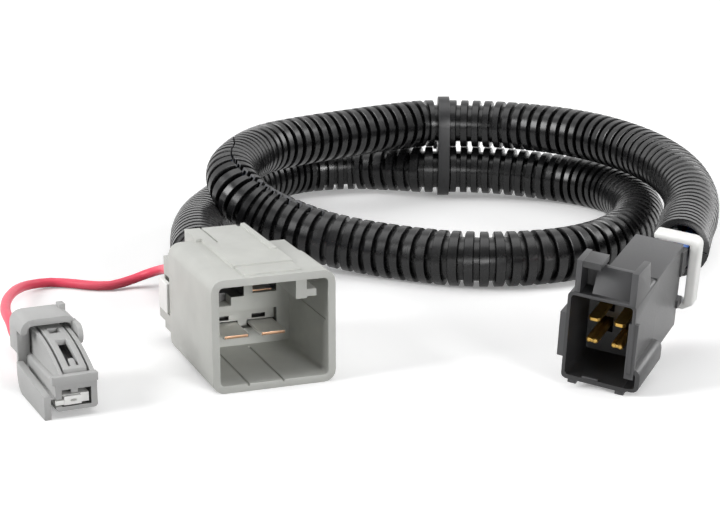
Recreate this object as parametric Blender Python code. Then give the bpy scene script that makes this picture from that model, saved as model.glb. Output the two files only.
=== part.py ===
"""Adapter harness for a trailer brake controller.

Three plugs on one looped length of split loom: a grey hooded power plug, a small grey one-way
signal plug on its own red wire, and a black four-way plug for the controller. Lengths are in
metres, +Z is up, and the harness lies on the plane Z = 0 as it would on a bench.
"""

import math

import bmesh
import bpy
from mathutils import Matrix, Vector

OBJECT_NAME = "brake_controller_harness"

# Fits and general sizes
FIT = 0.0003
OVERLAP = 0.0004
PAST = 0.001
ARC_STEPS = 4

# Where the three plugs lie, and how each is turned (degrees)
BENCH_SHIFT = (-0.000934, 0.000225)
POWER_AT = (-0.01932, -0.09121, 0.0)
POWER_TURN = (0.0, 0.0, 20.9)
SIGNAL_AT = (-0.06837, -0.11295, 0.0)
SIGNAL_TURN = (0.0, 0.0, 25.0)
CONTROLLER_AT = (0.05424, -0.09477, 0.001521)
CONTROLLER_TURN = (8.8, 6.23, -25.9)

# Loom, wires and tie
LOOM_OUTSIDE = 0.0150
LOOM_WALL = 0.0020
LOOM_SLIT = 0.0008
LOOM_SLIT_ANGLE = 62.0
LOOM_POINTS = 74
WIRE_POINTS = 80
WIRE_BATTERY = 0.0032
WIRE_GROUND = 0.0032
WIRE_BRAKE = 0.0028
WIRE_SIGNAL = 0.0026
WIRE_SPREAD = 0.0021
WIRE_TWIST = 90.0
TIE_WIDTH = 0.0036
TIE_THICK = 0.0011
TIE_AT_X = 0.0270
TIE_AT_Y = 0.0990
TIE_STACK = 0.0156
TIE_STRAIGHT = 0.0062
TIE_HEAD = 0.0056
TIE_HEAD_REACH = 0.0046
TIE_ARC_STEPS = 10

LOOM_LOW = LOOM_OUTSIDE / 2 + FIT + TIE_THICK

LOOM_ROUTE = [
    (-0.0423, -0.0210, 0.0123),
    (-0.0438, -0.0080, 0.0118),
    (-0.0450, 0.0060, 0.0110),
    (-0.0456, 0.0205, 0.0096),
    (-0.0452, 0.0330, 0.0087),
    (-0.0430, 0.0480, 0.0080),
    (-0.0375, 0.0727, 0.0076),
    (-0.0305, 0.0896, 0.0077),
    (-0.0198, 0.1020, 0.0079),
    (-0.0033, 0.1060, 0.0083),
    (0.0110, 0.1018, 0.0088),
    (TIE_AT_X - TIE_STRAIGHT, TIE_AT_Y, LOOM_LOW),
    (TIE_AT_X + TIE_STRAIGHT, TIE_AT_Y, LOOM_LOW),
    (0.0468, 0.0966, 0.0087),
    (0.0600, 0.0925, 0.0080),
    (0.0710, 0.0860, 0.0076),
    (0.0793, 0.0750, 0.0075),
    (0.0830, 0.0600, 0.0075),
    (0.0832, 0.0470, 0.0075),
    (0.0806, 0.0335, 0.0075),
    (0.0752, 0.0195, 0.0075),
    (0.0665, 0.0065, 0.0075),
    (0.0547, -0.0027, 0.0075),
    (0.0390, -0.0070, 0.0075),
    (0.0250, -0.0060, 0.0075),
    (0.0110, -0.0005, 0.0076),
    (0.0000, 0.0042, 0.0082),
    (-0.0090, 0.0072, 0.0095),
    (-0.0195, 0.0125, 0.0119),
    (-0.0270, 0.0162, 0.0146),
    (-0.0322, 0.0190, 0.0176),
    (-0.0356, 0.0235, 0.0206),
    (-0.0370, 0.0310, 0.0225),
    (-0.0356, 0.0410, 0.0234),
    (-0.0300, 0.0580, 0.0239),
    (-0.0200, 0.0695, 0.0243),
    (-0.0051, 0.0820, 0.0246),
    (0.0110, 0.0938, 0.0246),
    (TIE_AT_X - TIE_STRAIGHT, TIE_AT_Y, LOOM_LOW + TIE_STACK),
    (TIE_AT_X + TIE_STRAIGHT, TIE_AT_Y, LOOM_LOW + TIE_STACK),
    (0.0465, 0.0964, 0.0245),
    (0.0590, 0.0900, 0.0242),
    (0.0730, 0.0785, 0.0238),
    (0.0825, 0.0640, 0.0233),
    (0.0890, 0.0470, 0.0226),
    (0.0923, 0.0300, 0.0214),
    (0.0926, 0.0140, 0.0198),
    (0.0896, -0.0040, 0.0186),
    (0.0857, -0.0185, 0.0185),
    (0.0821, -0.0335, 0.0190),
]

# The red wire's own way, from the start of the loom round to the signal plug
SIGNAL_BRANCH = [
    (-0.0446, -0.0258, 0.0100),
    (-0.0463, -0.0290, 0.0098),
    (-0.0490, -0.0272, 0.0094),
    (-0.0508, -0.0220, 0.0086),
    (-0.0522, -0.0165, 0.0073),
    (-0.0543, -0.0120, 0.0057),
    (-0.0577, -0.0092, 0.0039),
    (-0.0623, -0.0094, 0.0022),
    (-0.0673, -0.0122, 0.0015),
    (-0.0728, -0.0116, 0.0014),
    (-0.0785, -0.0096, 0.0014),
    (-0.0840, -0.0090, 0.0015),
    (-0.0886, -0.0130, 0.0020),
    (-0.0906, -0.0206, 0.0030),
    (-0.0906, -0.0344, 0.0045),
    (-0.0886, -0.0485, 0.0055),
    (-0.0854, -0.0590, 0.0057),
]

# Grey power plug, in its own frame: x to its right, y back from its open face, z up
POWER_WIDTH = 0.0295
POWER_HEIGHT = 0.0267
POWER_HOOD = 0.0360
POWER_WALL = 0.0018
POWER_CORNER = 0.0028
POWER_DEPTH = 0.0280
POWER_FLANGE = 0.0190
POWER_FLANGE_DROP = 0.0018
POWER_REAR = 0.0460
POWER_REAR_INSET = 0.00135
POWER_REAR_LEFT = POWER_REAR_INSET - POWER_WIDTH / 2
POWER_REAR_RIGHT = 0.0115
POWER_REAR_TOP = 0.0210
POWER_REAR_BASE = 0.0026
POWER_PANEL = (-0.0070, 0.0074)
POWER_PANEL_RISE = 0.0008
POWER_PANEL_STEP = 0.0085
POWER_PANEL_REAR = 0.0445
POWER_PANEL_LOBE = -0.0083
POWER_BLADE_WIDTH = 0.0063
POWER_BLADE_THICK = 0.0008
POWER_BLADE_CHAMFER = 0.0003
POWER_RECESS = 0.0022
POWER_SLOT = (0.0034, 0.0011, 0.0026)
POWER_SLOT_RIGHT = 0.0012
POWER_SLOT_LIFT = 0.0017
POWER_BLADE_TIP = 0.0200
POWER_BLADE_PITCH = 0.0092
POWER_BLADE_FIRST = -0.00295
POWER_LOW_ROW = 0.0062
POWER_LOW_ROOM = 0.0045
POWER_HIGH_ROW = 0.0140
POWER_HIGH_ROOM = 0.0045
POWER_HIGH_INSET = 0.0009
POWER_SPARE_REACH = 0.0010
POWER_SPARE_SILL = 0.0018
POWER_SPARE_TOP = 0.0165
POWER_SHELF = (0.0177, 0.0190)
POWER_SHELF_REACH = 0.0026
POWER_CRIMP_START = 0.0350
POWER_CRIMP_END = 0.0420
POWER_KEY = (0.0053, 0.0079)
POWER_KEY_FOOT = 0.0024
POWER_KEY_DROP = 0.0044
POWER_KEY_THICK = 0.0020
POWER_KEY_LENGTH = 0.0200
POWER_GROOVES = (-0.0063, 0.0020)
POWER_SIDE_GROOVE = 0.0143
POWER_GROOVE = 0.0005

# White side lock of the power plug
POWER_LOCK_Y = (0.0370, 0.0445)
POWER_LOCK_Z = (0.0086, 0.0162)
POWER_LOCK_THICK = 0.0012
POWER_LOCK_STAND = 0.0006
POWER_LOCK_TONGUE = 0.0028
POWER_LOCK_TRAVEL = 0.0016
POWER_LEDGE = 0.0024

# Grey signal plug, in its own frame from the front lower corner of its keel
SIGNAL_LEFT = 0.0026
SIGNAL_RIGHT = 0.0120
SIGNAL_BASE = 0.0016
SIGNAL_TOP = 0.0082
SIGNAL_LENGTH = 0.0250
SIGNAL_KEEL = 0.0015
SIGNAL_KEEL_TOP = 0.0068
SIGNAL_KEEL_LENGTH = 0.0225
SIGNAL_KEEL_HEEL = 0.0040
SIGNAL_CHEEK = 0.0015
SIGNAL_CHEEK_SET = 0.0012
SIGNAL_CHEEK_LEFT = 0.0020
SIGNAL_CHEEK_RIGHT = 0.0012
SIGNAL_LATCH_GAP = 0.0005
SIGNAL_ARCH_FOOT = 0.0096
SIGNAL_ARCH_RISE = 0.0050
SIGNAL_ARCH_RUN = 0.0210
SIGNAL_BEAM = 0.0015
SIGNAL_BEAM_HEIGHT = 0.0020
SIGNAL_MOUTH_WIDTH = 0.0066
SIGNAL_MOUTH_HEIGHT = 0.0038
SIGNAL_MOUTH_BASE = 0.0026
SIGNAL_MOUTH_DEPTH = 0.0095
SIGNAL_VISOR = (0.0004, 0.0136)
SIGNAL_VISOR_Y = (0.0190, 0.0290)
SIGNAL_VISOR_TOP = 0.0172
SIGNAL_VISOR_FOOT = 0.0085
SIGNAL_VISOR_THICK = 0.0015
SIGNAL_VISOR_ROUND = 0.0028
SIGNAL_LOBE_FRONT = 0.0140
SIGNAL_LOBE_FOOT = 0.0128
SIGNAL_BUMP = 0.0007
SIGNAL_LEG_FRONT = 0.0226
SIGNAL_LEG_TOP = 0.0140
SIGNAL_LATCH_THICK = 0.0014
SIGNAL_LATCH_LENGTH = 0.0235
SIGNAL_LATCH_WINDOW = (0.0052, 0.0128)
SIGNAL_LATCH_ROOT = 0.0028
SIGNAL_LATCH_TONGUE = 0.0013
SIGNAL_LATCH_NOTCH = (0.0165, 0.0195)
SIGNAL_LATCH_SLOT = 0.0024
SIGNAL_LOCK_LENGTH = 0.0060
SIGNAL_LOCK_HOLE = 0.0013
SIGNAL_LOCK_SLOT = 0.0005
SIGNAL_LOCK_STEP = 0.0012
SIGNAL_LOCK_NOSE = 0.0018
SIGNAL_LOCK_HEADROOM = 0.0011
SIGNAL_LOCK_TAB = (0.0018, 0.0012, 0.0032)
SIGNAL_BEAM_LEFT = 0.0019
SIGNAL_AXIS = 0.0065
SIGNAL_HANGER = (0.0061, 0.0077)
SIGNAL_HANGER_DROP = 0.0009
SIGNAL_HANGER_DEPTH = 0.0040
SIGNAL_TERMINAL = 0.0026
SIGNAL_CRIMP_END = 0.0235

# Black controller plug, in its own frame: x to its right, y back from its open face, z up
CTRL_LEFT = -0.0094
CTRL_RIGHT = 0.0066
CTRL_HEIGHT = 0.0221
CTRL_CORNER = 0.0012
CTRL_WALL = 0.0008
CTRL_FLOOR = 0.0011
CTRL_DEPTH = 0.0145
CTRL_BACK = 0.0025
CTRL_HOOD = CTRL_DEPTH + CTRL_BACK
CTRL_REAR = 0.0360
CTRL_BODY_LEFT = -0.0074
CTRL_SPINE_LEFT = -0.0053
CTRL_BODY_BASE = 0.0009
CTRL_BODY_SHOULDER = 0.0175
CTRL_RIB = (0.0089, 0.0062)
CTRL_FLANGE = (0.0035, 0.01735)
CTRL_FLANGE_REACH = 0.0017
CTRL_FLANGE_X = (0.0052, 0.0074)
CTRL_FLANGE_THICK = 0.0013
CTRL_SIDE_RIB = (0.0053, 0.0164)
CTRL_SIDE_RIB_REACH = 0.0015
CTRL_SIDE_RIB_LENGTH = 0.0140
CTRL_POST_LEFT = (-0.0081, -0.0068)
CTRL_POST_TOP = 0.0300
CTRL_POST_LENGTH = 0.0068
CTRL_ROOF_REACH = 0.0042
CTRL_ROOF_THICK = 0.0017
CTRL_POST_RIGHT = 0.0018
CTRL_POST_RIGHT_LENGTH = 0.0104
CTRL_WEDGE = (-0.0042, 0.0046)
CTRL_WEDGE_TOP = 0.0278
CTRL_LIP = (-0.0045, -0.0007)
CTRL_LIP_RISE = 0.0004
CTRL_FOOT = 0.0010
CTRL_FOOT_SIZE = 0.0020
CTRL_FEET_X = (-0.0068, 0.00445)
CTRL_PIN_WIDTH = 0.0028
CTRL_PIN_THICK = 0.0008
CTRL_PIN_TIP = 0.0050
CTRL_PIN_X = (-0.0044, 0.0016)
CTRL_PIN_Z = (0.0084, 0.01375)
CTRL_PIN_CHAMFER = 0.0006
CTRL_CRIMP_START = 0.0230
CTRL_CRIMP_END = 0.0300
CTRL_LUG_REACH = 0.0025
CTRL_LUG_HIGH = 0.0140
CTRL_LUG_LOW = (0.0056, 0.0076)
CTRL_LUG_STAND = 0.0003

# White rear lock of the controller plug
CTRL_LOCK_DEPTH = 0.0042
CTRL_LOCK_BAR = 0.0024
CTRL_LOCK_THICK = 0.0016
CTRL_LOCK_TOP_LEFT = -0.0018
CTRL_LOCK_LIFT = -0.0014
CTRL_LOCK_HOOK = 0.0055
CTRL_LOCK_ROUND = 0.0020
CTRL_LOCK_STAND = 0.0029


def clear_scene():
    for old in list(bpy.data.objects):
        bpy.data.objects.remove(old, do_unlink=True)


def collection(name):
    made = bpy.data.collections.new(name)
    bpy.context.scene.collection.children.link(made)
    return made


def plastic(name, colour, roughness, metallic=0.0):
    made = bpy.data.materials.new(name)
    made.use_nodes = True
    shader = made.node_tree.nodes["Principled BSDF"]
    shader.inputs["Base Color"].default_value = (*colour, 1.0)
    shader.inputs["Roughness"].default_value = roughness
    shader.inputs["Metallic"].default_value = metallic
    return made


def frame_matrix(place, turn):
    pitch, roll, yaw = (math.radians(angle) for angle in turn)
    turned = Matrix.Rotation(yaw, 4, "Z") @ Matrix.Rotation(pitch, 4, "X") @ Matrix.Rotation(roll, 4, "Y")
    return Matrix.Translation(place) @ turned


def empty(name, matrix, parent=None):
    made = bpy.data.objects.new(name, None)
    parts.objects.link(made)
    made.parent = parent
    made.matrix_local = matrix
    return made


def place(name, mesh, frame):
    made = bpy.data.objects.new(name, mesh)
    parts.objects.link(made)
    made.parent = frame
    return made


def mesh_from(name, shape):
    mesh = bpy.data.meshes.new(name)
    shape.to_mesh(mesh)
    shape.free()
    return mesh


def box(name, frame, x, y, z):
    """A block between low and high values on each axis."""
    shape = bmesh.new()
    bmesh.ops.create_cube(shape, size=1.0)
    size = Vector((x[1] - x[0], y[1] - y[0], z[1] - z[0]))
    middle = Vector((x[0] + x[1], y[0] + y[1], z[0] + z[1])) / 2
    bmesh.ops.scale(shape, vec=size, verts=shape.verts)
    bmesh.ops.translate(shape, vec=middle, verts=shape.verts)
    return place(name, mesh_from(name, shape), frame)


def rod(name, frame, centre, y, radius, sides=16):
    """A round bar along y, centred at (x, z)."""
    shape = bmesh.new()
    bmesh.ops.create_cone(
        shape, cap_ends=True, segments=sides, radius1=radius, radius2=radius, depth=y[1] - y[0]
    )
    bmesh.ops.rotate(shape, matrix=Matrix.Rotation(math.radians(90), 3, "X"), verts=shape.verts)
    bmesh.ops.translate(shape, vec=(centre[0], (y[0] + y[1]) / 2, centre[1]), verts=shape.verts)
    return place(name, mesh_from(name, shape), frame)


# How an outline's own plane and thickness lie on x, y and z
LAY = {
    "X": Matrix(((0, 0, 1, 0), (1, 0, 0, 0), (0, 1, 0, 0), (0, 0, 0, 1))),
    "Y": Matrix(((1, 0, 0, 0), (0, 0, -1, 0), (0, 1, 0, 0), (0, 0, 0, 1))),
    "Z": Matrix.Identity(4),
}


def prism(name, frame, outline, axis, span):
    """A flat outline carried along one axis: (y, z) along X, (x, z) along Y, (x, y) along Z."""
    curve = bpy.data.curves.new(name, "CURVE")
    curve.dimensions = "2D"
    curve.fill_mode = "BOTH"
    curve.extrude = (span[1] - span[0]) / 2
    spline = curve.splines.new("POLY")
    spline.points.add(len(outline) - 1)
    for point, (u, v) in zip(spline.points, outline):
        point.co = (u, v, 0.0, 1.0)
    spline.use_cyclic_u = True
    holder = bpy.data.objects.new(name, curve)
    parts.objects.link(holder)
    evaluated = holder.evaluated_get(bpy.context.evaluated_depsgraph_get())
    mesh = bpy.data.meshes.new_from_object(evaluated)
    bpy.data.objects.remove(holder, do_unlink=True)
    shape = bmesh.new()
    shape.from_mesh(mesh)
    bmesh.ops.remove_doubles(shape, verts=shape.verts, dist=0.000002)
    bmesh.ops.dissolve_limit(
        shape, angle_limit=math.radians(0.5), verts=shape.verts, edges=shape.edges
    )
    bmesh.ops.transform(shape, matrix=LAY[axis], verts=shape.verts)
    shift = {"X": (1, 0, 0), "Y": (0, 1, 0), "Z": (0, 0, 1)}[axis]
    bmesh.ops.translate(shape, vec=Vector(shift) * (span[0] + span[1]) / 2, verts=shape.verts)
    bmesh.ops.recalc_face_normals(shape, faces=shape.faces)
    return place(name, mesh_from(name, shape), frame)


def arc(centre, radius, start, end, steps):
    """Points on an arc, with its angles in degrees."""
    angles = [math.radians(start + (end - start) * step / steps) for step in range(steps + 1)]
    return [(centre[0] + radius * math.cos(a), centre[1] + radius * math.sin(a)) for a in angles]


def rounded(left, base, right, top, radius):
    points = arc((right - radius, top - radius), radius, 0, 90, ARC_STEPS)
    points += arc((left + radius, top - radius), radius, 90, 180, ARC_STEPS)
    points += arc((left + radius, base + radius), radius, 180, 270, ARC_STEPS)
    points += arc((right - radius, base + radius), radius, 270, 360, ARC_STEPS)
    return points


def combine(target, tool, operation):
    tools.objects.link(tool)
    parts.objects.unlink(tool)
    tool.hide_render = True
    tool.display_type = "WIRE"
    step = target.modifiers.new(tool.name, "BOOLEAN")
    step.operation = operation
    step.solver = "EXACT"
    step.object = tool


def cut(target, *cutters):
    for tool in cutters:
        combine(target, tool, "DIFFERENCE")


def fuse(target, *pieces):
    for tool in pieces:
        combine(target, tool, "UNION")


def finish(piece, material, pivot=None):
    """Give a piece its material and, where it moves, its origin on the line that it moves along."""
    piece.data.materials.clear()
    piece.data.materials.append(material)
    if pivot is not None:
        piece.data.transform(Matrix.Translation(-Vector(pivot)))
        piece.location = pivot
    return piece


def smooth_path(points, count):
    """Evenly spaced points on a smooth curve through the given ones."""
    knots = [Vector(point) for point in points]
    ends = [knots[0] * 2 - knots[1]] + knots + [knots[-1] * 2 - knots[-2]]
    fine = []
    for before, start, end, after in zip(ends, ends[1:], ends[2:], ends[3:]):
        t0 = 0.0
        t1 = t0 + max((start - before).length, 1e-6) ** 0.5
        t2 = t1 + max((end - start).length, 1e-6) ** 0.5
        t3 = t2 + max((after - end).length, 1e-6) ** 0.5
        for step in range(12):
            t = t1 + (t2 - t1) * step / 12
            a1 = before * ((t1 - t) / (t1 - t0)) + start * ((t - t0) / (t1 - t0))
            a2 = start * ((t2 - t) / (t2 - t1)) + end * ((t - t1) / (t2 - t1))
            a3 = end * ((t3 - t) / (t3 - t2)) + after * ((t - t2) / (t3 - t2))
            b1 = a1 * ((t2 - t) / (t2 - t0)) + a2 * ((t - t0) / (t2 - t0))
            b2 = a2 * ((t3 - t) / (t3 - t1)) + a3 * ((t - t1) / (t3 - t1))
            fine.append(b1 * ((t2 - t) / (t2 - t1)) + b2 * ((t - t1) / (t2 - t1)))
    fine.append(knots[-1])
    lengths = [0.0]
    for start, end in zip(fine, fine[1:]):
        lengths.append(lengths[-1] + (end - start).length)
    path = []
    at = 0
    for index in range(count):
        wanted = lengths[-1] * index / (count - 1)
        while at < len(fine) - 2 and lengths[at + 1] < wanted:
            at += 1
        share = (wanted - lengths[at]) / (lengths[at + 1] - lengths[at])
        path.append(fine[at].lerp(fine[at + 1], min(max(share, 0.0), 1.0)))
    return path


def beside(points, right, up):
    """The route moved sideways and up, as a wire lies within the loom's slowly twisting bundle."""
    knots = [Vector(point) for point in points]
    moved = []
    for index, here in enumerate(knots):
        along = (knots[min(index + 1, len(knots) - 1)] - knots[max(index - 1, 0)]).normalized()
        side = along.cross(Vector((0, 0, 1))).normalized()
        turn = math.radians(WIRE_TWIST) * index / (len(knots) - 1)
        across = right * math.cos(turn) - up * math.sin(turn)
        above = right * math.sin(turn) + up * math.cos(turn)
        moved.append(here + side * across + side.cross(along) * above)
    return moved


def cord(name, path, frame):
    curve = bpy.data.curves.new(name, "CURVE")
    curve.dimensions = "3D"
    curve.twist_mode = "Z_UP"
    curve.use_fill_caps = True
    spline = curve.splines.new("POLY")
    spline.points.add(len(path) - 1)
    for point, here in zip(spline.points, path):
        point.co = (*here, 1.0)
    return place(name, curve, frame)


def wire(name, points, diameter, material):
    made = cord(name, smooth_path(points, WIRE_POINTS), bench)
    made.data.bevel_depth = diameter / 2
    made.data.bevel_resolution = 2
    return finish(made, material)


def loom_profile():
    """The loom's cut face: a ring with a narrow slit along one side."""
    outer = LOOM_OUTSIDE / 2
    inner = outer - LOOM_WALL
    outer_gap = math.degrees(LOOM_SLIT / 2 / outer)
    inner_gap = math.degrees(LOOM_SLIT / 2 / inner)
    turn = LOOM_SLIT_ANGLE
    outline = arc((0, 0), outer, turn + 360 - outer_gap, turn + outer_gap, 16)
    outline += arc((0, 0), inner, turn + inner_gap, turn + 360 - inner_gap, 12)
    curve = bpy.data.curves.new("loom_profile", "CURVE")
    curve.dimensions = "2D"
    spline = curve.splines.new("POLY")
    spline.points.add(len(outline) - 1)
    for point, (u, v) in zip(spline.points, outline):
        point.co = (u, v, 0.0, 1.0)
    spline.use_cyclic_u = True
    made = bpy.data.objects.new("loom_profile", curve)
    tools.objects.link(made)
    made.hide_render = True
    made.display_type = "WIRE"
    return made


def make_loom():
    loom = cord("loom_conduit", smooth_path(LOOM_ROUTE, LOOM_POINTS), bench)
    loom.data.bevel_mode = "OBJECT"
    loom.data.bevel_object = loom_profile()
    return finish(loom, BLACK_LOOM)


def stadium(radius):
    """The outline round two stacked strands, in y and z."""
    low = (TIE_AT_Y, LOOM_LOW)
    high = (TIE_AT_Y, LOOM_LOW + TIE_STACK)
    return arc(high, radius, 0, 180, TIE_ARC_STEPS) + arc(low, radius, 180, 360, TIE_ARC_STEPS)


def make_tie():
    bore = LOOM_OUTSIDE / 2 + FIT
    span = (TIE_AT_X - TIE_WIDTH / 2, TIE_AT_X + TIE_WIDTH / 2)
    strap = prism("cable_tie", bench, stadium(bore + TIE_THICK), "X", span)
    inside = prism("tie_inside", bench, stadium(bore), "X", (span[0] - PAST, span[1] + PAST))
    middle = LOOM_LOW + TIE_STACK / 2
    back = TIE_AT_Y + bore + TIE_THICK
    head = box(
        "tie_head", bench,
        (TIE_AT_X - TIE_HEAD / 2, TIE_AT_X + TIE_HEAD / 2),
        (back - TIE_THICK / 2, back + TIE_HEAD_REACH),
        (middle - TIE_HEAD / 2, middle + TIE_HEAD / 2),
    )
    tail = box(
        "tie_tail", bench,
        (TIE_AT_X - TIE_WIDTH / 2 + FIT, TIE_AT_X + TIE_WIDTH / 2 - FIT),
        (back + TIE_THICK, back + TIE_THICK * 2),
        (middle, middle + TIE_HEAD / 2 + TIE_THICK * 2),
    )
    cut(strap, inside)
    fuse(strap, head, tail)
    return finish(strap, BLACK_NYLON)


def power_columns():
    return [POWER_BLADE_FIRST, POWER_BLADE_FIRST + POWER_BLADE_PITCH]


def make_power_housing(frame):
    half = POWER_WIDTH / 2
    top = POWER_HEIGHT
    outline = rounded(-half, 0, half, top, POWER_CORNER)
    hood = prism("power_housing", frame, outline, "Y", (0, POWER_HOOD))
    inner = POWER_CORNER - POWER_WALL
    mouth = rounded(-half + POWER_WALL, POWER_WALL, half - POWER_WALL, top - POWER_WALL, inner)
    lowered = top - POWER_FLANGE_DROP
    throat = rounded(-half + POWER_WALL, POWER_WALL, half - POWER_WALL, lowered - POWER_WALL, inner)
    flange = POWER_FLANGE - POWER_WALL
    right, panel_top = POWER_PANEL[1], top + POWER_PANEL_RISE
    panel_low = top - POWER_WALL / 2

    fuse(
        hood,
        box("power_rear", frame, (POWER_REAR_LEFT, POWER_REAR_RIGHT),
            (POWER_DEPTH + POWER_WALL, POWER_REAR), (POWER_REAR_BASE, POWER_REAR_TOP)),
    )
    cut(
        hood,
        box("power_shoulder", frame, (right, half + PAST), (POWER_FLANGE, POWER_HOOD + PAST),
            (lowered, top + PAST)),
        prism("power_mouth", frame, mouth, "Y", (-PAST, flange)),
        prism("power_throat", frame, throat, "Y", (flange - PAST, POWER_DEPTH)),
    )
    fuse(
        hood,
        box("power_panel", frame, POWER_PANEL, (POWER_PANEL_STEP, POWER_HOOD - OVERLAP),
            (panel_low, panel_top)),
        box("power_panel_front", frame, (POWER_PANEL[0] + OVERLAP, right - OVERLAP),
            (POWER_WALL, POWER_PANEL_STEP + OVERLAP), (panel_low, top + POWER_PANEL_RISE / 2)),
        box("power_tower", frame, (POWER_PANEL_LOBE, right),
            (POWER_HOOD - POWER_WALL, POWER_PANEL_REAR),
            (POWER_REAR_TOP - POWER_WALL, panel_top)),
        box("power_rail", frame, (right - POWER_WALL, right - OVERLAP),
            (POWER_FLANGE, POWER_PANEL_REAR - OVERLAP), (panel_low, panel_top + POWER_PANEL_RISE / 2)),
        box("power_ear", frame, (-half + OVERLAP, -half + POWER_CORNER),
            (POWER_HOOD - POWER_WALL, POWER_HOOD + POWER_WALL),
            (POWER_REAR_TOP - POWER_WALL, top - POWER_CORNER)),
        box("power_ledge", frame, (-half, POWER_REAR_LEFT + OVERLAP),
            (POWER_HOOD - POWER_WALL, POWER_REAR - OVERLAP),
            (POWER_LOCK_Z[0] - FIT - POWER_LEDGE, POWER_LOCK_Z[0] - FIT)),
    )

    key_low = top - POWER_WALL - POWER_KEY_DROP
    key_y = (FIT, POWER_KEY_LENGTH)
    fuse(
        hood,
        box("power_key", frame, POWER_KEY, key_y, (key_low, top - POWER_WALL / 2)),
        box("power_key_foot", frame,
            (POWER_KEY[1] - OVERLAP, POWER_KEY[1] + POWER_KEY_FOOT),
            (key_y[0] + FIT, key_y[1] - FIT), (key_low + FIT, key_low + POWER_KEY_THICK)),
    )

    reach = POWER_BLADE_WIDTH / 2 + FIT
    barrel = max(WIRE_BATTERY, WIRE_GROUND) / 2 + FIT * 2
    recess = POWER_DEPTH + POWER_RECESS
    slot_wide, slot_tall, slot_deep = POWER_SLOT
    low = POWER_LOW_ROW - FIT
    slot_low = low + POWER_SLOT_LIFT
    spare, used = power_columns()
    cut(hood, box("power_recess", frame, (spare - reach, used + reach),
                  (POWER_DEPTH - PAST, recess), (low, low + POWER_LOW_ROOM)))
    for column in power_columns():
        slot_right = column + POWER_SLOT_RIGHT
        cut(
            hood,
            box("power_blade_slot", frame, (column - reach, column + reach),
                (recess - PAST, POWER_REAR + PAST), (low, low + POWER_BLADE_THICK + FIT * 2)),
            box("power_barrel_bore", frame, (column - barrel, column + barrel),
                (POWER_CRIMP_START - FIT * 2, POWER_REAR + PAST), (low + FIT / 2, low + POWER_LOW_ROOM)),
            box("power_release_slot", frame, (slot_right - slot_wide, slot_right),
                (recess - PAST, recess + slot_deep), (slot_low, slot_low + slot_tall)),
        )
    high = POWER_HIGH_ROW - FIT
    through = (POWER_DEPTH - PAST, POWER_REAR + PAST)
    cut(
        hood,
        box("power_window", frame, (used - reach + POWER_HIGH_INSET, used + reach), through,
            (high + POWER_BLADE_THICK, high + POWER_HIGH_ROOM)),
        box("power_window_blade", frame, (used - reach, used + reach),
            (recess - POWER_WALL / 2, POWER_REAR + PAST), (high, high + POWER_BLADE_THICK + FIT * 2)),
        box("power_window_barrel", frame, (used - barrel, used + barrel),
            (POWER_CRIMP_START - FIT * 2, POWER_REAR + PAST), (high + FIT / 2, high + POWER_HIGH_ROOM)),
        box("power_spare", frame, (spare - reach, spare + reach + POWER_SPARE_REACH), through,
            (POWER_HIGH_ROW, POWER_SPARE_TOP)),
        box("power_spare_sill", frame, (spare - reach + FIT, spare + POWER_SLOT_RIGHT),
            (POWER_DEPTH - PAST, recess + POWER_RECESS), (high - POWER_SPARE_SILL, POWER_HIGH_ROW + FIT)),
    )
    fuse(hood, box("power_shelf", frame, (used - FIT, used + reach + POWER_SPARE_REACH),
                   (POWER_DEPTH - POWER_SHELF_REACH, POWER_DEPTH + OVERLAP), POWER_SHELF))

    pocket = POWER_LOCK_TRAVEL + POWER_LOCK_TONGUE - POWER_LOCK_STAND + FIT
    cut(hood, box("power_lock_pocket", frame,
                  (POWER_REAR_LEFT - POWER_LOCK_STAND - POWER_LOCK_THICK - FIT, POWER_REAR_LEFT + pocket),
                  (POWER_LOCK_Y[0] - FIT, POWER_LOCK_Y[1] + FIT),
                  (POWER_LOCK_Z[0] - FIT / 2, POWER_LOCK_Z[1] + FIT)))

    for groove in POWER_GROOVES:
        cut(hood, box("power_groove", frame, (groove - POWER_GROOVE / 2, groove + POWER_GROOVE / 2),
                      (-PAST, POWER_DEPTH - POWER_WALL),
                      (POWER_WALL - POWER_GROOVE, POWER_WALL + POWER_GROOVE)))
    wall = half - POWER_WALL
    cut(hood, box("power_side_groove", frame, (wall - POWER_GROOVE, wall + POWER_GROOVE / 2),
                  (POWER_WALL, POWER_KEY_LENGTH),
                  (POWER_SIDE_GROOVE, POWER_SIDE_GROOVE + POWER_GROOVE)))
    split = POWER_PANEL[0] + POWER_CORNER
    cut(hood, box("power_split", frame, (split - POWER_GROOVE / 2, split + POWER_GROOVE / 2),
                  (POWER_DEPTH + POWER_WALL, POWER_PANEL_REAR + PAST),
                  (top, panel_top + PAST)))
    notch = right - POWER_WALL
    cut(hood, box("power_notch", frame, (notch - POWER_PANEL_RISE, notch + FIT),
                  (POWER_PANEL_REAR - POWER_WALL, POWER_PANEL_REAR + PAST),
                  (panel_top - POWER_WALL / 2, panel_top + PAST)))
    return finish(hood, GREY_PBT)


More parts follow.
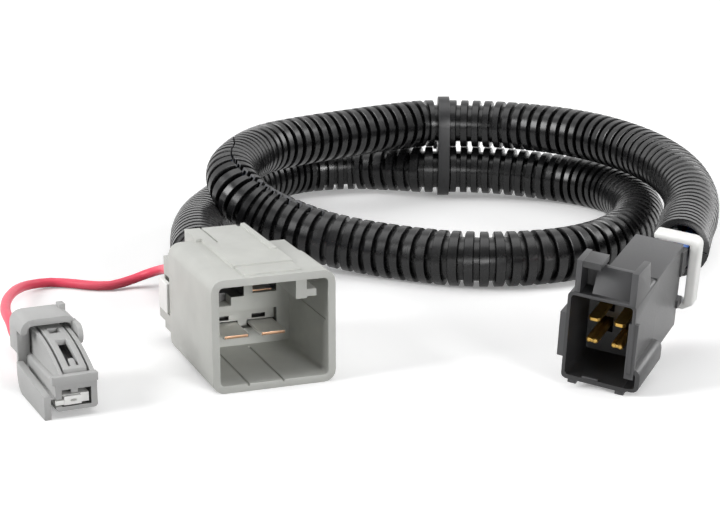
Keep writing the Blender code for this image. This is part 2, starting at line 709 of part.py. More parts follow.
def make_power_terminals(frame):
    left, right = power_columns()
    reach = POWER_BLADE_WIDTH / 2
    chamfer = POWER_BLADE_CHAMFER
    recess = POWER_DEPTH + POWER_WALL
    sets = (
        ("power_blade_left", left, POWER_LOW_ROW, POWER_BLADE_TIP, WIRE_BATTERY),
        ("power_blade_right", right, POWER_LOW_ROW, POWER_BLADE_TIP, WIRE_GROUND),
        ("power_terminal_upper", right, POWER_HIGH_ROW, recess, WIRE_BRAKE),
    )
    for name, column, row, tip, diameter in sets:
        outline = [
            (column - reach, POWER_CRIMP_START + OVERLAP),
            (column - reach, tip + chamfer),
            (column - reach + chamfer, tip),
            (column + reach - chamfer, tip),
            (column + reach, tip + chamfer),
            (column + reach, POWER_CRIMP_START + OVERLAP),
        ]
        blade = prism(name, frame, outline, "Z", (row, row + POWER_BLADE_THICK))
        crimp = rod("power_crimp", frame, (column, row + diameter / 2 + FIT / 2),
                    (POWER_CRIMP_START, POWER_CRIMP_END), diameter / 2 + FIT / 3)
        fuse(blade, crimp)
        finish(blade, TIN)


def make_power_lock(frame):
    outside = POWER_REAR_LEFT - POWER_LOCK_STAND
    plate = box("power_lock", frame, (outside - POWER_LOCK_THICK, outside), POWER_LOCK_Y, POWER_LOCK_Z)
    inset = POWER_LOCK_THICK
    tongue = box("power_lock_tongue", frame, (outside - OVERLAP, outside + POWER_LOCK_TONGUE),
                 (POWER_LOCK_Y[0] + inset, POWER_LOCK_Y[1] - inset),
                 (POWER_LOCK_Z[0] + inset, POWER_LOCK_Z[1] - inset))
    fuse(plate, tongue)
    middle = (outside, sum(POWER_LOCK_Y) / 2, sum(POWER_LOCK_Z) / 2)
    return finish(plate, WHITE_NYLON, middle)


def arch_height(y):
    """Height of the arched back of the signal plug at a distance from its front."""
    share = min(max(y / SIGNAL_ARCH_RUN, 0.0), 1.0)
    return SIGNAL_ARCH_FOOT + SIGNAL_ARCH_RISE * (1 - (1 - share) ** 2)


def arch_line(start, end, drop, steps=8):
    ys = [start + (end - start) * step / steps for step in range(steps + 1)]
    return [(y, arch_height(y) - drop) for y in ys]


def make_signal_housing(frame):
    left, right = SIGNAL_LEFT, SIGNAL_RIGHT
    body = prism("signal_housing", frame,
                 rounded(left, SIGNAL_BASE, right, SIGNAL_TOP, SIGNAL_CHEEK / 2), "Y", (0, SIGNAL_LENGTH))
    heel = SIGNAL_KEEL_HEEL
    keel = arc((SIGNAL_KEEL_LENGTH - heel, heel), heel, 270, 360, ARC_STEPS)
    keel += [(SIGNAL_KEEL_LENGTH, SIGNAL_KEEL_TOP), (0, SIGNAL_KEEL_TOP - SIGNAL_KEEL), (0, 0)]
    cheek = [(SIGNAL_BEAM / 2, SIGNAL_TOP - OVERLAP)]
    cheek += [(SIGNAL_LENGTH - OVERLAP, SIGNAL_TOP - OVERLAP)]
    cheek += list(reversed(arch_line(SIGNAL_BEAM / 2, SIGNAL_LENGTH - OVERLAP, FIT)))
    outer = rounded(SIGNAL_VISOR[0], SIGNAL_VISOR_FOOT - SIGNAL_VISOR_ROUND, SIGNAL_VISOR[1],
                    SIGNAL_VISOR_TOP, SIGNAL_VISOR_ROUND)
    thick = SIGNAL_VISOR_THICK
    inner = rounded(SIGNAL_VISOR[0] + thick, -PAST, SIGNAL_VISOR[1] - thick,
                    SIGNAL_VISOR_TOP - thick, SIGNAL_VISOR_ROUND - thick)
    visor = prism("signal_visor", frame, outer, "Y", SIGNAL_VISOR_Y)
    cut(
        visor,
        prism("signal_visor_inside", frame, inner, "Y",
              (SIGNAL_VISOR_Y[0] - PAST, SIGNAL_VISOR_Y[1] + PAST)),
        box("signal_leg_relief", frame, (SIGNAL_VISOR[0] - PAST, SIGNAL_VISOR[0] + thick + PAST),
            (SIGNAL_VISOR_Y[0] - PAST, SIGNAL_LEG_FRONT), (-PAST, SIGNAL_LEG_TOP)),
        box("signal_visor_trim", frame, (SIGNAL_VISOR[0] - PAST, SIGNAL_VISOR[1] + PAST),
            (SIGNAL_VISOR_Y[0] - PAST, SIGNAL_VISOR_Y[1] + PAST), (-PAST, SIGNAL_VISOR_FOOT)),
    )
    lobe_middle = (SIGNAL_VISOR_TOP - SIGNAL_VISOR_ROUND + SIGNAL_LOBE_FOOT) / 2
    lobe_round = (SIGNAL_VISOR_TOP - SIGNAL_VISOR_ROUND - SIGNAL_LOBE_FOOT) / 2 + SIGNAL_CHEEK
    lobe = arc((SIGNAL_LOBE_FRONT + lobe_round, lobe_middle), lobe_round, 90, 270, ARC_STEPS * 2)
    lobe += [(SIGNAL_VISOR_Y[0] + thick, lobe_middle - lobe_round)]
    lobe += [(SIGNAL_VISOR_Y[0] + thick, lobe_middle + lobe_round)]
    rear = (SIGNAL_LEG_FRONT + OVERLAP, SIGNAL_LENGTH - OVERLAP * 2)
    fuse(
        body,
        prism("signal_keel", frame, keel, "X", (0, SIGNAL_KEEL)),
        box("signal_keel_web", frame, (SIGNAL_KEEL - OVERLAP, left + OVERLAP),
            (OVERLAP, SIGNAL_KEEL_LENGTH - OVERLAP),
            (SIGNAL_KEEL_TOP - SIGNAL_KEEL * 2, SIGNAL_KEEL_TOP - SIGNAL_KEEL - OVERLAP)),
        prism("signal_cheek_left", frame, cheek, "X", (left + SIGNAL_CHEEK_SET, left + SIGNAL_CHEEK_LEFT)),
        prism("signal_cheek_right", frame, cheek, "X", (right - SIGNAL_CHEEK_RIGHT, right - OVERLAP / 2)),
        box("signal_beam", frame, (SIGNAL_BEAM_LEFT, right + OVERLAP / 2),
            (-OVERLAP, SIGNAL_BEAM), (SIGNAL_TOP - OVERLAP, SIGNAL_ARCH_FOOT)),
        visor,
        prism("signal_lobe", frame, lobe, "X", (SIGNAL_VISOR[1] - thick + FIT / 2, SIGNAL_VISOR[1] - FIT / 2)),
        box("signal_bump", frame,
            (SIGNAL_VISOR[1] - thick * 1.5, SIGNAL_VISOR[1] - thick / 2),
            (SIGNAL_VISOR_Y[1] - thick * 2, SIGNAL_VISOR_Y[1] - OVERLAP),
            (SIGNAL_VISOR_TOP - thick / 2, SIGNAL_VISOR_TOP + SIGNAL_BUMP)),
        box("signal_leg_left", frame, (SIGNAL_VISOR[0] + OVERLAP / 2, left + SIGNAL_CHEEK / 2),
            rear, (SIGNAL_KEEL_TOP - SIGNAL_KEEL, SIGNAL_LEG_TOP + thick / 2)),
        box("signal_leg_right", frame, (right - SIGNAL_CHEEK / 2, SIGNAL_VISOR[1] - OVERLAP / 2),
            rear, (SIGNAL_TOP - thick, SIGNAL_VISOR_FOOT + thick)),
    )
    middle = (left + right) / 2
    mouth_top = SIGNAL_MOUTH_BASE + SIGNAL_MOUTH_HEIGHT
    axis = SIGNAL_MOUTH_BASE + SIGNAL_MOUTH_HEIGHT / 2
    room = SIGNAL_TERMINAL / 2 + FIT
    tab_wide, tab_tall, tab_long = SIGNAL_LOCK_TAB
    cut(
        body,
        box("signal_mouth", frame,
            (middle - SIGNAL_MOUTH_WIDTH / 2, middle + SIGNAL_MOUTH_WIDTH / 2),
            (-PAST, SIGNAL_MOUTH_DEPTH), (SIGNAL_MOUTH_BASE, mouth_top)),
        box("signal_lock_notch", frame, (left - PAST, middle - SIGNAL_MOUTH_WIDTH / 2 + OVERLAP),
            (-PAST, tab_long + FIT), (SIGNAL_MOUTH_BASE + FIT / 2, SIGNAL_MOUTH_BASE + tab_tall + FIT * 2)),
        box("signal_cavity", frame, (SIGNAL_AXIS - room, SIGNAL_AXIS + room),
            (SIGNAL_MOUTH_DEPTH - PAST, SIGNAL_LENGTH + PAST), (axis - room, axis + room)),
    )
    fuse(body, box("signal_hanger", frame, SIGNAL_HANGER, (FIT, SIGNAL_HANGER_DEPTH),
                   (mouth_top - SIGNAL_HANGER_DROP, mouth_top + OVERLAP)))
    return finish(body, MID_GREY_PBT)


def make_signal_latch(frame):
    start = SIGNAL_BEAM + FIT
    end = SIGNAL_LATCH_LENGTH
    outline = arch_line(start, end, 0.0) + list(reversed(arch_line(start, end, SIGNAL_LATCH_THICK)))
    inside = (SIGNAL_LEFT + SIGNAL_CHEEK_LEFT + SIGNAL_LATCH_GAP,
              SIGNAL_RIGHT - SIGNAL_CHEEK_RIGHT - SIGNAL_LATCH_GAP)
    latch = prism("signal_latch", frame, outline, "X", inside)
    middle = sum(inside) / 2
    for window in (SIGNAL_LATCH_WINDOW, SIGNAL_LATCH_NOTCH):
        cut(latch, box("signal_latch_window", frame,
                       (middle - SIGNAL_LATCH_SLOT / 2, middle + SIGNAL_LATCH_SLOT / 2),
                       window, (0, SIGNAL_VISOR_TOP)))
    edges = (SIGNAL_LATCH_TONGUE / 2, SIGNAL_LATCH_SLOT / 2)
    for slit in ((middle - edges[1], middle - edges[0]), (middle + edges[0], middle + edges[1])):
        cut(latch, box("signal_latch_slit", frame, slit,
                       (SIGNAL_LATCH_ROOT, SIGNAL_LATCH_WINDOW[0] + OVERLAP), (0, SIGNAL_VISOR_TOP)))
    hinge = (middle, start, arch_height(start) - SIGNAL_LATCH_THICK / 2)
    return finish(latch, MID_GREY_PBT, hinge)


def make_signal_lock(frame):
    middle = (SIGNAL_LEFT + SIGNAL_RIGHT) / 2
    axis = SIGNAL_MOUTH_BASE + SIGNAL_MOUTH_HEIGHT / 2
    reach = SIGNAL_MOUTH_WIDTH / 2 - FIT
    tall = SIGNAL_MOUTH_HEIGHT / 2 - FIT
    front = -FIT
    top = axis + tall - SIGNAL_LOCK_HEADROOM
    step = front + SIGNAL_LOCK_STEP
    lock = box("signal_lock", frame, (middle - reach, middle + reach),
               (step, front + SIGNAL_LOCK_LENGTH), (axis - tall, top))
    tab_wide, tab_tall, tab_long = SIGNAL_LOCK_TAB
    fuse(lock, box("signal_lock_nose", frame, (middle - reach + FIT / 3, SIGNAL_AXIS + SIGNAL_LOCK_NOSE),
                   (front, step + OVERLAP), (axis - tall + FIT / 3, top - FIT / 3)))
    fuse(lock, box("signal_lock_tab", frame, (middle - reach - tab_wide, middle - reach + OVERLAP),
                   (front + FIT, front + tab_long),
                   (SIGNAL_MOUTH_BASE + FIT * 1.5, SIGNAL_MOUTH_BASE + FIT + tab_tall)))
    hole = axis - SIGNAL_LOCK_HEADROOM / 2
    cut(lock, box("signal_lock_hole", frame,
                  (SIGNAL_AXIS - SIGNAL_LOCK_HOLE / 2, SIGNAL_AXIS + SIGNAL_LOCK_HOLE / 2),
                  (front - PAST, front + SIGNAL_LOCK_LENGTH + PAST),
                  (hole - SIGNAL_LOCK_SLOT / 2, hole + SIGNAL_LOCK_SLOT / 2)))
    return finish(lock, WHITE_NYLON, (middle, front, axis))


def make_signal_terminal(frame):
    middle = SIGNAL_AXIS
    axis = SIGNAL_MOUTH_BASE + SIGNAL_MOUTH_HEIGHT / 2
    half = SIGNAL_TERMINAL / 2
    start = SIGNAL_LOCK_LENGTH + FIT
    socket = box("signal_terminal", frame, (middle - half, middle + half),
                 (start, SIGNAL_CRIMP_END), (axis - half, axis + half))
    opening = SIGNAL_LOCK_HOLE / 2
    cut(socket, box("signal_socket", frame, (middle - opening, middle + opening),
                    (start - PAST, SIGNAL_MOUTH_DEPTH + SIGNAL_LOCK_LENGTH), (axis - opening, axis + opening)))
    return finish(socket, TIN)


def make_controller_housing(frame):
    left, right, top = CTRL_LEFT, CTRL_RIGHT, CTRL_HEIGHT
    hood = prism("controller_housing", frame, rounded(left, 0, right, top, CTRL_CORNER), "Y", (0, CTRL_HOOD))
    body = [
        (CTRL_BODY_LEFT, CTRL_BODY_BASE),
        (right - FIT / 2, CTRL_BODY_BASE),
        (right - FIT / 2, top + FIT / 2),
        (CTRL_SPINE_LEFT, top + FIT / 2),
        (CTRL_SPINE_LEFT, CTRL_BODY_SHOULDER),
        (CTRL_BODY_LEFT, CTRL_BODY_SHOULDER),
    ]
    rib = rounded(right - CTRL_FLANGE_REACH, FIT, CTRL_RIB[0], CTRL_RIB[1], CTRL_FLANGE_REACH)
    rear = (CTRL_REAR - CTRL_WALL, CTRL_REAR + CTRL_LUG_REACH)
    lug_left = right - CTRL_FLANGE_REACH
    post_right = [
        (0, top - CTRL_WALL),
        (0, CTRL_POST_TOP - FIT),
        (CTRL_POST_RIGHT_LENGTH - CTRL_ROOF_THICK, CTRL_POST_TOP - CTRL_WALL),
        (CTRL_POST_RIGHT_LENGTH, top + CTRL_ROOF_THICK),
        (CTRL_POST_RIGHT_LENGTH, top - CTRL_WALL),
    ]
    wedge_rise = CTRL_WEDGE_TOP - top
    wedge = [
        (CTRL_WALL, top - CTRL_WALL),
        (CTRL_WALL + wedge_rise * 0.6, CTRL_WEDGE_TOP),
        (CTRL_WALL + wedge_rise * 0.8, CTRL_WEDGE_TOP),
        (CTRL_POST_LENGTH + CTRL_WALL, top - CTRL_WALL),
    ]
    roof = (CTRL_POST_LEFT[0] + FIT / 2, CTRL_POST_LEFT[1] + CTRL_ROOF_REACH)
    fuse(
        hood,
        prism("controller_body", frame, body, "Y", (CTRL_DEPTH + CTRL_WALL, CTRL_REAR)),
        prism("controller_rib", frame, rib, "Y", (FIT, CTRL_HOOD - FIT)),
        box("controller_side_rib", frame, (left - CTRL_SIDE_RIB_REACH, left + CTRL_WALL / 2),
            (FIT, CTRL_SIDE_RIB_LENGTH), CTRL_SIDE_RIB),
        box("controller_post_left", frame, CTRL_POST_LEFT, (FIT, CTRL_POST_LENGTH),
            (top - CTRL_WALL, CTRL_POST_TOP)),
        box("controller_roof", frame, roof, (FIT * 2, CTRL_POST_LENGTH - FIT),
            (CTRL_POST_TOP - CTRL_ROOF_THICK, CTRL_POST_TOP - FIT / 2)),
        box("controller_post_back", frame, (CTRL_POST_LEFT[1] - OVERLAP, CTRL_WEDGE[0] + OVERLAP),
            (CTRL_POST_LENGTH - CTRL_WALL * 2, CTRL_POST_LENGTH - FIT * 2),
            (top - CTRL_WALL, CTRL_POST_TOP - CTRL_ROOF_THICK / 2)),
        prism("controller_post_right", frame, post_right, "X", (right - CTRL_POST_RIGHT, right - FIT)),
        prism("controller_wedge", frame, wedge, "X", CTRL_WEDGE),
        box("controller_lug_high", frame, (lug_left, right + CTRL_LUG_STAND), rear,
            (CTRL_LUG_HIGH, top + CTRL_LOCK_LIFT - FIT)),
        box("controller_lug_low", frame, (lug_left, right + CTRL_LUG_STAND), rear, CTRL_LUG_LOW),
    )
    for foot in CTRL_FEET_X:
        fuse(hood, box("controller_foot", frame,
                       (foot - CTRL_FOOT_SIZE / 2, foot + CTRL_FOOT_SIZE / 2),
                       (FIT, FIT + CTRL_FOOT_SIZE), (-CTRL_FOOT, CTRL_FLOOR / 2)))
    inside = rounded(left + CTRL_WALL, CTRL_FLOOR, right - CTRL_WALL, top - CTRL_WALL, CTRL_WALL)
    hollow = rounded(right - CTRL_FLANGE_REACH, CTRL_FLOOR, CTRL_RIB[0] - CTRL_FLOOR,
                     CTRL_RIB[1] - CTRL_FLOOR, CTRL_WALL)
    cut(
        hood,
        prism("controller_mouth", frame, inside, "Y", (-PAST, CTRL_DEPTH)),
        prism("controller_rib_hollow", frame, hollow, "Y", (-PAST, CTRL_DEPTH - FIT)),
    )
    fuse(hood, box("controller_lip", frame, CTRL_LIP, (FIT / 2, CTRL_WALL),
                   (CTRL_FLOOR / 2, CTRL_FLOOR + CTRL_LIP_RISE)))
    fuse(hood, box("controller_flange", frame, CTRL_FLANGE_X, (FIT / 2, CTRL_FLANGE_THICK), CTRL_FLANGE))
    room = max(WIRE_BATTERY, WIRE_GROUND, WIRE_BRAKE, WIRE_SIGNAL) / 2 + FIT
    for column in CTRL_PIN_X:
        for row in CTRL_PIN_Z:
            cut(hood, box("controller_cavity", frame, (column - room, column + room),
                          (CTRL_DEPTH - PAST, CTRL_REAR + PAST), (row - room, row + room)))
    return finish(hood, BLACK_PBT)


# Which wire each controller pin carries: column, row and wire diameter
CTRL_PINS = (
    ("controller_pin_upper_left", 0, 1, WIRE_GROUND),
    ("controller_pin_upper_right", 1, 1, WIRE_BRAKE),
    ("controller_pin_lower_left", 0, 0, WIRE_SIGNAL),
    ("controller_pin_lower_right", 1, 0, WIRE_BATTERY),
)


def make_controller_pins(frame):
    reach = CTRL_PIN_WIDTH / 2
    for name, column, row, diameter in CTRL_PINS:
        x, z = CTRL_PIN_X[column], CTRL_PIN_Z[row]
        outline = [
            (x - reach, CTRL_CRIMP_START + OVERLAP),
            (x - reach, CTRL_PIN_TIP + CTRL_PIN_CHAMFER),
            (x - reach + CTRL_PIN_CHAMFER, CTRL_PIN_TIP),
            (x + reach - CTRL_PIN_CHAMFER, CTRL_PIN_TIP),
            (x + reach, CTRL_PIN_TIP + CTRL_PIN_CHAMFER),
            (x + reach, CTRL_CRIMP_START + OVERLAP),
        ]
        span = (z - CTRL_PIN_THICK / 2, z + CTRL_PIN_THICK / 2)
        pin = prism(name, frame, outline, "Z", span)
        fuse(pin, rod("controller_crimp", frame, (x, z), (CTRL_CRIMP_START, CTRL_CRIMP_END),
                      diameter / 2 + FIT / 3))
        finish(pin, BRASS)


def make_controller_lock(frame):
    right = CTRL_RIGHT + CTRL_LUG_STAND + FIT
    outside = right + CTRL_LOCK_BAR
    low = CTRL_HEIGHT + CTRL_LOCK_LIFT
    top = low + CTRL_LOCK_THICK
    hook_top = CTRL_LUG_LOW[0] - FIT
    hook = hook_top - CTRL_LOCK_THICK
    corner = arc((outside - CTRL_LOCK_ROUND, top - CTRL_LOCK_ROUND), CTRL_LOCK_ROUND, 90, 0, ARC_STEPS)
    outline = [(CTRL_LOCK_TOP_LEFT, low), (CTRL_LOCK_TOP_LEFT, top)] + corner
    outline += [(outside, hook + CTRL_LOCK_THICK), (right, hook), (CTRL_LOCK_HOOK, hook)]
    outline += [(CTRL_LOCK_HOOK, hook_top), (right, hook_top), (right, low)]
    front = CTRL_REAR + CTRL_LOCK_STAND
    lock = prism("controller_lock", frame, outline, "Y", (front, front + CTRL_LOCK_DEPTH))
    return finish(lock, WHITE_NYLON, (right, front, CTRL_LUG_LOW[0]))


def make_wires():
    power = frame_matrix(POWER_AT, POWER_TURN)
    signal = frame_matrix(SIGNAL_AT, SIGNAL_TURN)
    controller = frame_matrix(CONTROLLER_AT, CONTROLLER_TURN)
    left, right = power_columns()

    def power_end(column, row, diameter):
        z = row + diameter / 2 + FIT / 2
        ys = (POWER_CRIMP_END + FIT, POWER_REAR, POWER_REAR + diameter)
        return [power @ Vector((column, y, z)) for y in ys]

    def controller_end(column, row, diameter):
        ys = (CTRL_REAR + diameter, CTRL_REAR, CTRL_CRIMP_END + FIT)
        return [controller @ Vector((CTRL_PIN_X[column], y, CTRL_PIN_Z[row])) for y in ys]

    axis = SIGNAL_MOUTH_BASE + SIGNAL_MOUTH_HEIGHT / 2
    ys = (SIGNAL_LENGTH + SIGNAL_CRIMP_END, SIGNAL_LENGTH + WIRE_SIGNAL, SIGNAL_CRIMP_END + FIT)
    signal_end = [signal @ Vector((SIGNAL_AXIS, y, axis)) for y in ys]

    spread = WIRE_SPREAD
    inner = LOOM_ROUTE
    ends = {name: controller_end(column, row, size) for name, column, row, size in CTRL_PINS}
    wire("battery_wire", power_end(left, POWER_LOW_ROW, WIRE_BATTERY) + beside(inner, -spread, spread)
         + ends["controller_pin_lower_right"], WIRE_BATTERY, BLACK_PVC)
    wire("ground_wire", power_end(right, POWER_LOW_ROW, WIRE_GROUND) + beside(inner, spread, -spread)
         + ends["controller_pin_upper_left"], WIRE_GROUND, WHITE_PVC)
    wire("brake_wire", power_end(right, POWER_HIGH_ROW, WIRE_BRAKE) + beside(inner, spread, spread)
         + ends["controller_pin_upper_right"], WIRE_BRAKE, BLUE_PVC)
    branch = list(reversed(SIGNAL_BRANCH))
    wire("signal_wire", list(reversed(signal_end)) + branch + beside(inner, -spread, -spread)
         + ends["controller_pin_lower_left"], WIRE_SIGNAL, RED_PVC)


clear_scene()
parts = collection(OBJECT_NAME)
tools = collection("cutters")

GREY_PBT = plastic("grey_pbt", (0.56, 0.57, 0.54), 0.5)
MID_GREY_PBT = plastic("mid_grey_pbt", (0.40, 0.40, 0.40), 0.5)
BLACK_PBT = plastic("black_pbt", (0.035, 0.035, 0.037), 0.45)
WHITE_NYLON = plastic("white_nylon", (0.82, 0.82, 0.80), 0.45)
BLACK_NYLON = plastic("black_nylon", (0.02, 0.02, 0.02), 0.45)
BLACK_LOOM = plastic("black_polyethylene", (0.015, 0.015, 0.016), 0.4)
BLACK_PVC = plastic("black_pvc", (0.012, 0.012, 0.012), 0.45)
WHITE_PVC = plastic("white_pvc", (0.80, 0.80, 0.78), 0.45)
BLUE_PVC = plastic("blue_pvc", (0.06, 0.12, 0.42), 0.45)
RED_PVC = plastic("red_pvc", (0.72, 0.05, 0.08), 0.45)
TIN = plastic("tinned_brass", (0.66, 0.64, 0.60), 0.3, 1.0)
BRASS = plastic("brass", (0.62, 0.44, 0.17), 0.3, 1.0)

bench = empty("bench", Matrix.Translation((*BENCH_SHIFT, 0.0)))
power_frame = empty("power_frame", frame_matrix(POWER_AT, POWER_TURN), bench)
signal_frame = empty("signal_frame", frame_matrix(SIGNAL_AT, SIGNAL_TURN), bench)
controller_frame = empty("controller_frame", frame_matrix(CONTROLLER_AT, CONTROLLER_TURN), bench)

make_loom()
make_tie()
make_wires()
make_power_housing(power_frame)
make_power_terminals(power_frame)
make_power_lock(power_frame)
make_signal_housing(signal_frame)
make_signal_latch(signal_frame)
make_signal_lock(signal_frame)
make_signal_terminal(signal_frame)
make_controller_housing(controller_frame)
make_controller_pins(controller_frame)
make_controller_lock(controller_frame)
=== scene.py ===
# %% [markdown]
# # A trailer brake controller harness
# The object is a short lead of black split loom, looped once and held by a cable tie. It joins a
# light grey power plug, a small grey signal plug on a red wire and a black four-way controller plug.
# The measured solids come first as a fixed frame. Each step below then swaps a plain solid for a
# finished piece: ribs on the loom, soft moulded edges on the plugs, stamped metal on the terminals.

# %% Load the measured frame
import math

import bpy
from mathutils import Matrix, Vector


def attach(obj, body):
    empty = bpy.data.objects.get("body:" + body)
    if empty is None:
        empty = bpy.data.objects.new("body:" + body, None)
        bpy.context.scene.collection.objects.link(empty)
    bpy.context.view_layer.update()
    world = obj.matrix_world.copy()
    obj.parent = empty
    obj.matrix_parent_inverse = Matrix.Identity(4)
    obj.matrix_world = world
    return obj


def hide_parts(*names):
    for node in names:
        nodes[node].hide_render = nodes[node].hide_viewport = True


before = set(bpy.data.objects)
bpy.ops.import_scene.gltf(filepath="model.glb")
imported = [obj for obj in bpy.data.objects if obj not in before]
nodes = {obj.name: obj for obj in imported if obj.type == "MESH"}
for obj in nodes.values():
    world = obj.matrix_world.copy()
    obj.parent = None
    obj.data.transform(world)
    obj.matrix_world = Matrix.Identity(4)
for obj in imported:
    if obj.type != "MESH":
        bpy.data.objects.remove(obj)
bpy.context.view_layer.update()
HARNESS = "harness"
print("nodes in the frame:", len(nodes))

# %% [markdown]
# The camera stands where the photographer's did. Its lens, height and tilt were worked out from the
# straight edges of the plugs and the known width of the blades, so the pieces land on the picture
# with no fitting by eye. The lens is long, which keeps the perspective gentle.

# %% Camera
BENCH_SHIFT = Vector((-0.000934, 0.000225, 0.0))
CAMERA_BACK = -0.491
CAMERA_HEIGHT = 0.13973
CAMERA_TILT = 74.689
CAMERA_LENS = 92.5

camera_data = bpy.data.cameras.new("studio_camera")
camera_data.lens = CAMERA_LENS
camera_data.sensor_width = 36.0
camera_data.sensor_fit = "HORIZONTAL"
camera = bpy.data.objects.new("studio_camera", camera_data)
camera.location = Vector((0.0, CAMERA_BACK, CAMERA_HEIGHT)) + BENCH_SHIFT
camera.rotation_euler = (math.radians(CAMERA_TILT), 0.0, 0.0)
bpy.context.scene.collection.objects.link(camera)
bpy.context.scene.camera = camera
print("camera at", [round(value, 4) for value in camera.location])

# %% [markdown]
# Colours are written as the sRGB hex values that a picture editor shows. Shaders work in linear
# light, so one function converts them. A second small function adds a shader node, sets its values
# and joins its inputs, which keeps every material below down to a readable list. The last two find
# the rays that see the white studio, and take up one piece for editing.

# %% Helpers for colour, nodes and selection
def linear(code):
    """An sRGB hex colour as linear red, green, blue and alpha."""
    channels = [int(code[at:at + 2], 16) / 255 for at in (1, 3, 5)]
    light = [c / 12.92 if c <= 0.04045 else ((c + 0.055) / 1.055) ** 2.4 for c in channels]
    return (*light, 1.0)


def add_node(tree, kind, settings=None, inputs=None):
    """A new node: settings are its own properties, inputs are values or sockets to link."""
    made = tree.nodes.new(kind)
    for name, value in (settings or {}).items():
        setattr(made, name, value)
    for name, value in (inputs or {}).items():
        if isinstance(value, bpy.types.NodeSocket):
            tree.links.new(value, made.inputs[name])
        else:
            made.inputs[name].default_value = value
    return made


def new_material(name):
    """An empty node material with its output, ready for nodes."""
    made = bpy.data.materials.new(name)
    made.use_nodes = True
    made.node_tree.nodes.clear()
    return made, made.node_tree, made.node_tree.nodes.new("ShaderNodeOutputMaterial")


def white_to_the_eye(tree):
    """The light path node, and a value that is 1 for camera rays and mirrored rays."""
    rays = add_node(tree, "ShaderNodeLightPath")
    seen = add_node(tree, "ShaderNodeMath", {"operation": "MAXIMUM"},
                    {0: rays.outputs["Is Camera Ray"], 1: rays.outputs["Is Glossy Ray"]})
    return rays, seen.outputs[0]


def take_up(piece):
    """Selects one piece alone and makes it the active one."""
    bpy.ops.object.select_all(action="DESELECT")
    bpy.context.view_layer.objects.active = piece
    piece.select_set(True)


print("grey check:", [round(value, 3) for value in linear("#808080")])

# %% [markdown]
# The studio is a plain white floor under soft lamps. A white table would throw so much light back up
# that the insides of the plugs would glow, so the paper looks white to the camera and to reflections
# and bounces light as a mid grey. Far from the lamps it brightens into the white behind, as a curved
# paper sweep does. The world works the same way: white to look at, dim as a lamp, and
# darker in reflections from the front, where a photographer's room is dark, apart from a white card
# round the camera that puts a soft light on each rib. Four softboxes stand over, beside and in front
# of the harness.

# %% Studio
FLOOR_SIZE = 6.0
FLOOR_LIFT = 0.20
FLOOR_NEAR, FLOOR_FAR = 0.45, 1.30
WORLD_FILL = 0.13
# Brightness of reflections straight ahead, and how far back (as the y of a direction) they turn white
FRONT_GLOSS, GLOSS_FRONT, GLOSS_BACK = 0.22, -0.9, 0.1
# The card: its brightness, and the y of a direction at its edge and where it is at full strength
FRONT_CARD, CARD_EDGE, CARD_FULL = 6.0, -0.935, -0.995

bpy.ops.object.select_all(action="DESELECT")
bpy.ops.mesh.primitive_plane_add(size=FLOOR_SIZE)
floor = bpy.context.object
floor.name = "studio_floor"
floor_paper, tree, output = new_material("white paper floor")
rays, seen = white_to_the_eye(tree)
shade = add_node(tree, "ShaderNodeMix", {"data_type": "RGBA"}, {
    0: seen, 6: linear("#8C8C8C"), 7: linear("#FDFDFD")})
paper = add_node(tree, "ShaderNodeBsdfDiffuse", inputs={
    "Color": shade.outputs[2], "Roughness": 0.5})
lift = add_node(tree, "ShaderNodeMapRange", inputs={
    "Value": seen, "To Min": 0.0, "To Max": FLOOR_LIFT})
place = add_node(tree, "ShaderNodeTexCoord").outputs["Object"]
away = add_node(tree, "ShaderNodeVectorMath", {"operation": "LENGTH"}, {0: place})
far = add_node(tree, "ShaderNodeMapRange", inputs={
    "Value": away.outputs["Value"], "From Min": FLOOR_NEAR, "From Max": FLOOR_FAR})
sweep = add_node(tree, "ShaderNodeMath", {"operation": "MULTIPLY"},
                 {0: far.outputs[0], 1: rays.outputs["Is Camera Ray"]})
raised = add_node(tree, "ShaderNodeMath", inputs={0: lift.outputs[0], 1: sweep.outputs[0]})
glow = add_node(tree, "ShaderNodeEmission", inputs={"Strength": raised.outputs[0]})
sheet = add_node(tree, "ShaderNodeAddShader", inputs={0: paper.outputs[0], 1: glow.outputs[0]})
tree.links.new(sheet.outputs[0], output.inputs[0])
floor.data.materials.append(floor_paper)

world = bpy.data.worlds.new("white studio")
bpy.context.scene.world = world
world.use_nodes = True
tree = world.node_tree
tree.nodes.clear()
rays, seen = white_to_the_eye(tree)
shown = add_node(tree, "ShaderNodeMath", {"operation": "MAXIMUM"},
                 {0: seen, 1: rays.outputs["Is Transmission Ray"]})
around = add_node(tree, "ShaderNodeTexCoord").outputs["Generated"]
depth = add_node(tree, "ShaderNodeSeparateXYZ", inputs={0: around}).outputs["Y"]
mirrored = add_node(tree, "ShaderNodeMapRange", inputs={
    "Value": depth, "From Min": GLOSS_FRONT, "From Max": GLOSS_BACK,
    "To Min": FRONT_GLOSS, "To Max": 1.0})
card = add_node(tree, "ShaderNodeMapRange", {"interpolation_type": "SMOOTHSTEP"}, {
    "Value": depth, "From Min": CARD_EDGE, "From Max": CARD_FULL,
    "To Min": 0.0, "To Max": FRONT_CARD})
lit = add_node(tree, "ShaderNodeMath", inputs={0: mirrored.outputs[0], 1: card.outputs[0]})
white = add_node(tree, "ShaderNodeMath", {"operation": "MAXIMUM"},
                 {0: lit.outputs[0], 1: rays.outputs["Is Camera Ray"]})
level = add_node(tree, "ShaderNodeMapRange", inputs={
    "Value": shown.outputs[0], "To Min": WORLD_FILL, "To Max": white.outputs[0]})
sky = add_node(tree, "ShaderNodeBackground", inputs={
    "Color": linear("#FFFFFF"), "Strength": level.outputs[0]})
add_node(tree, "ShaderNodeOutputWorld", inputs={"Surface": sky.outputs[0]})

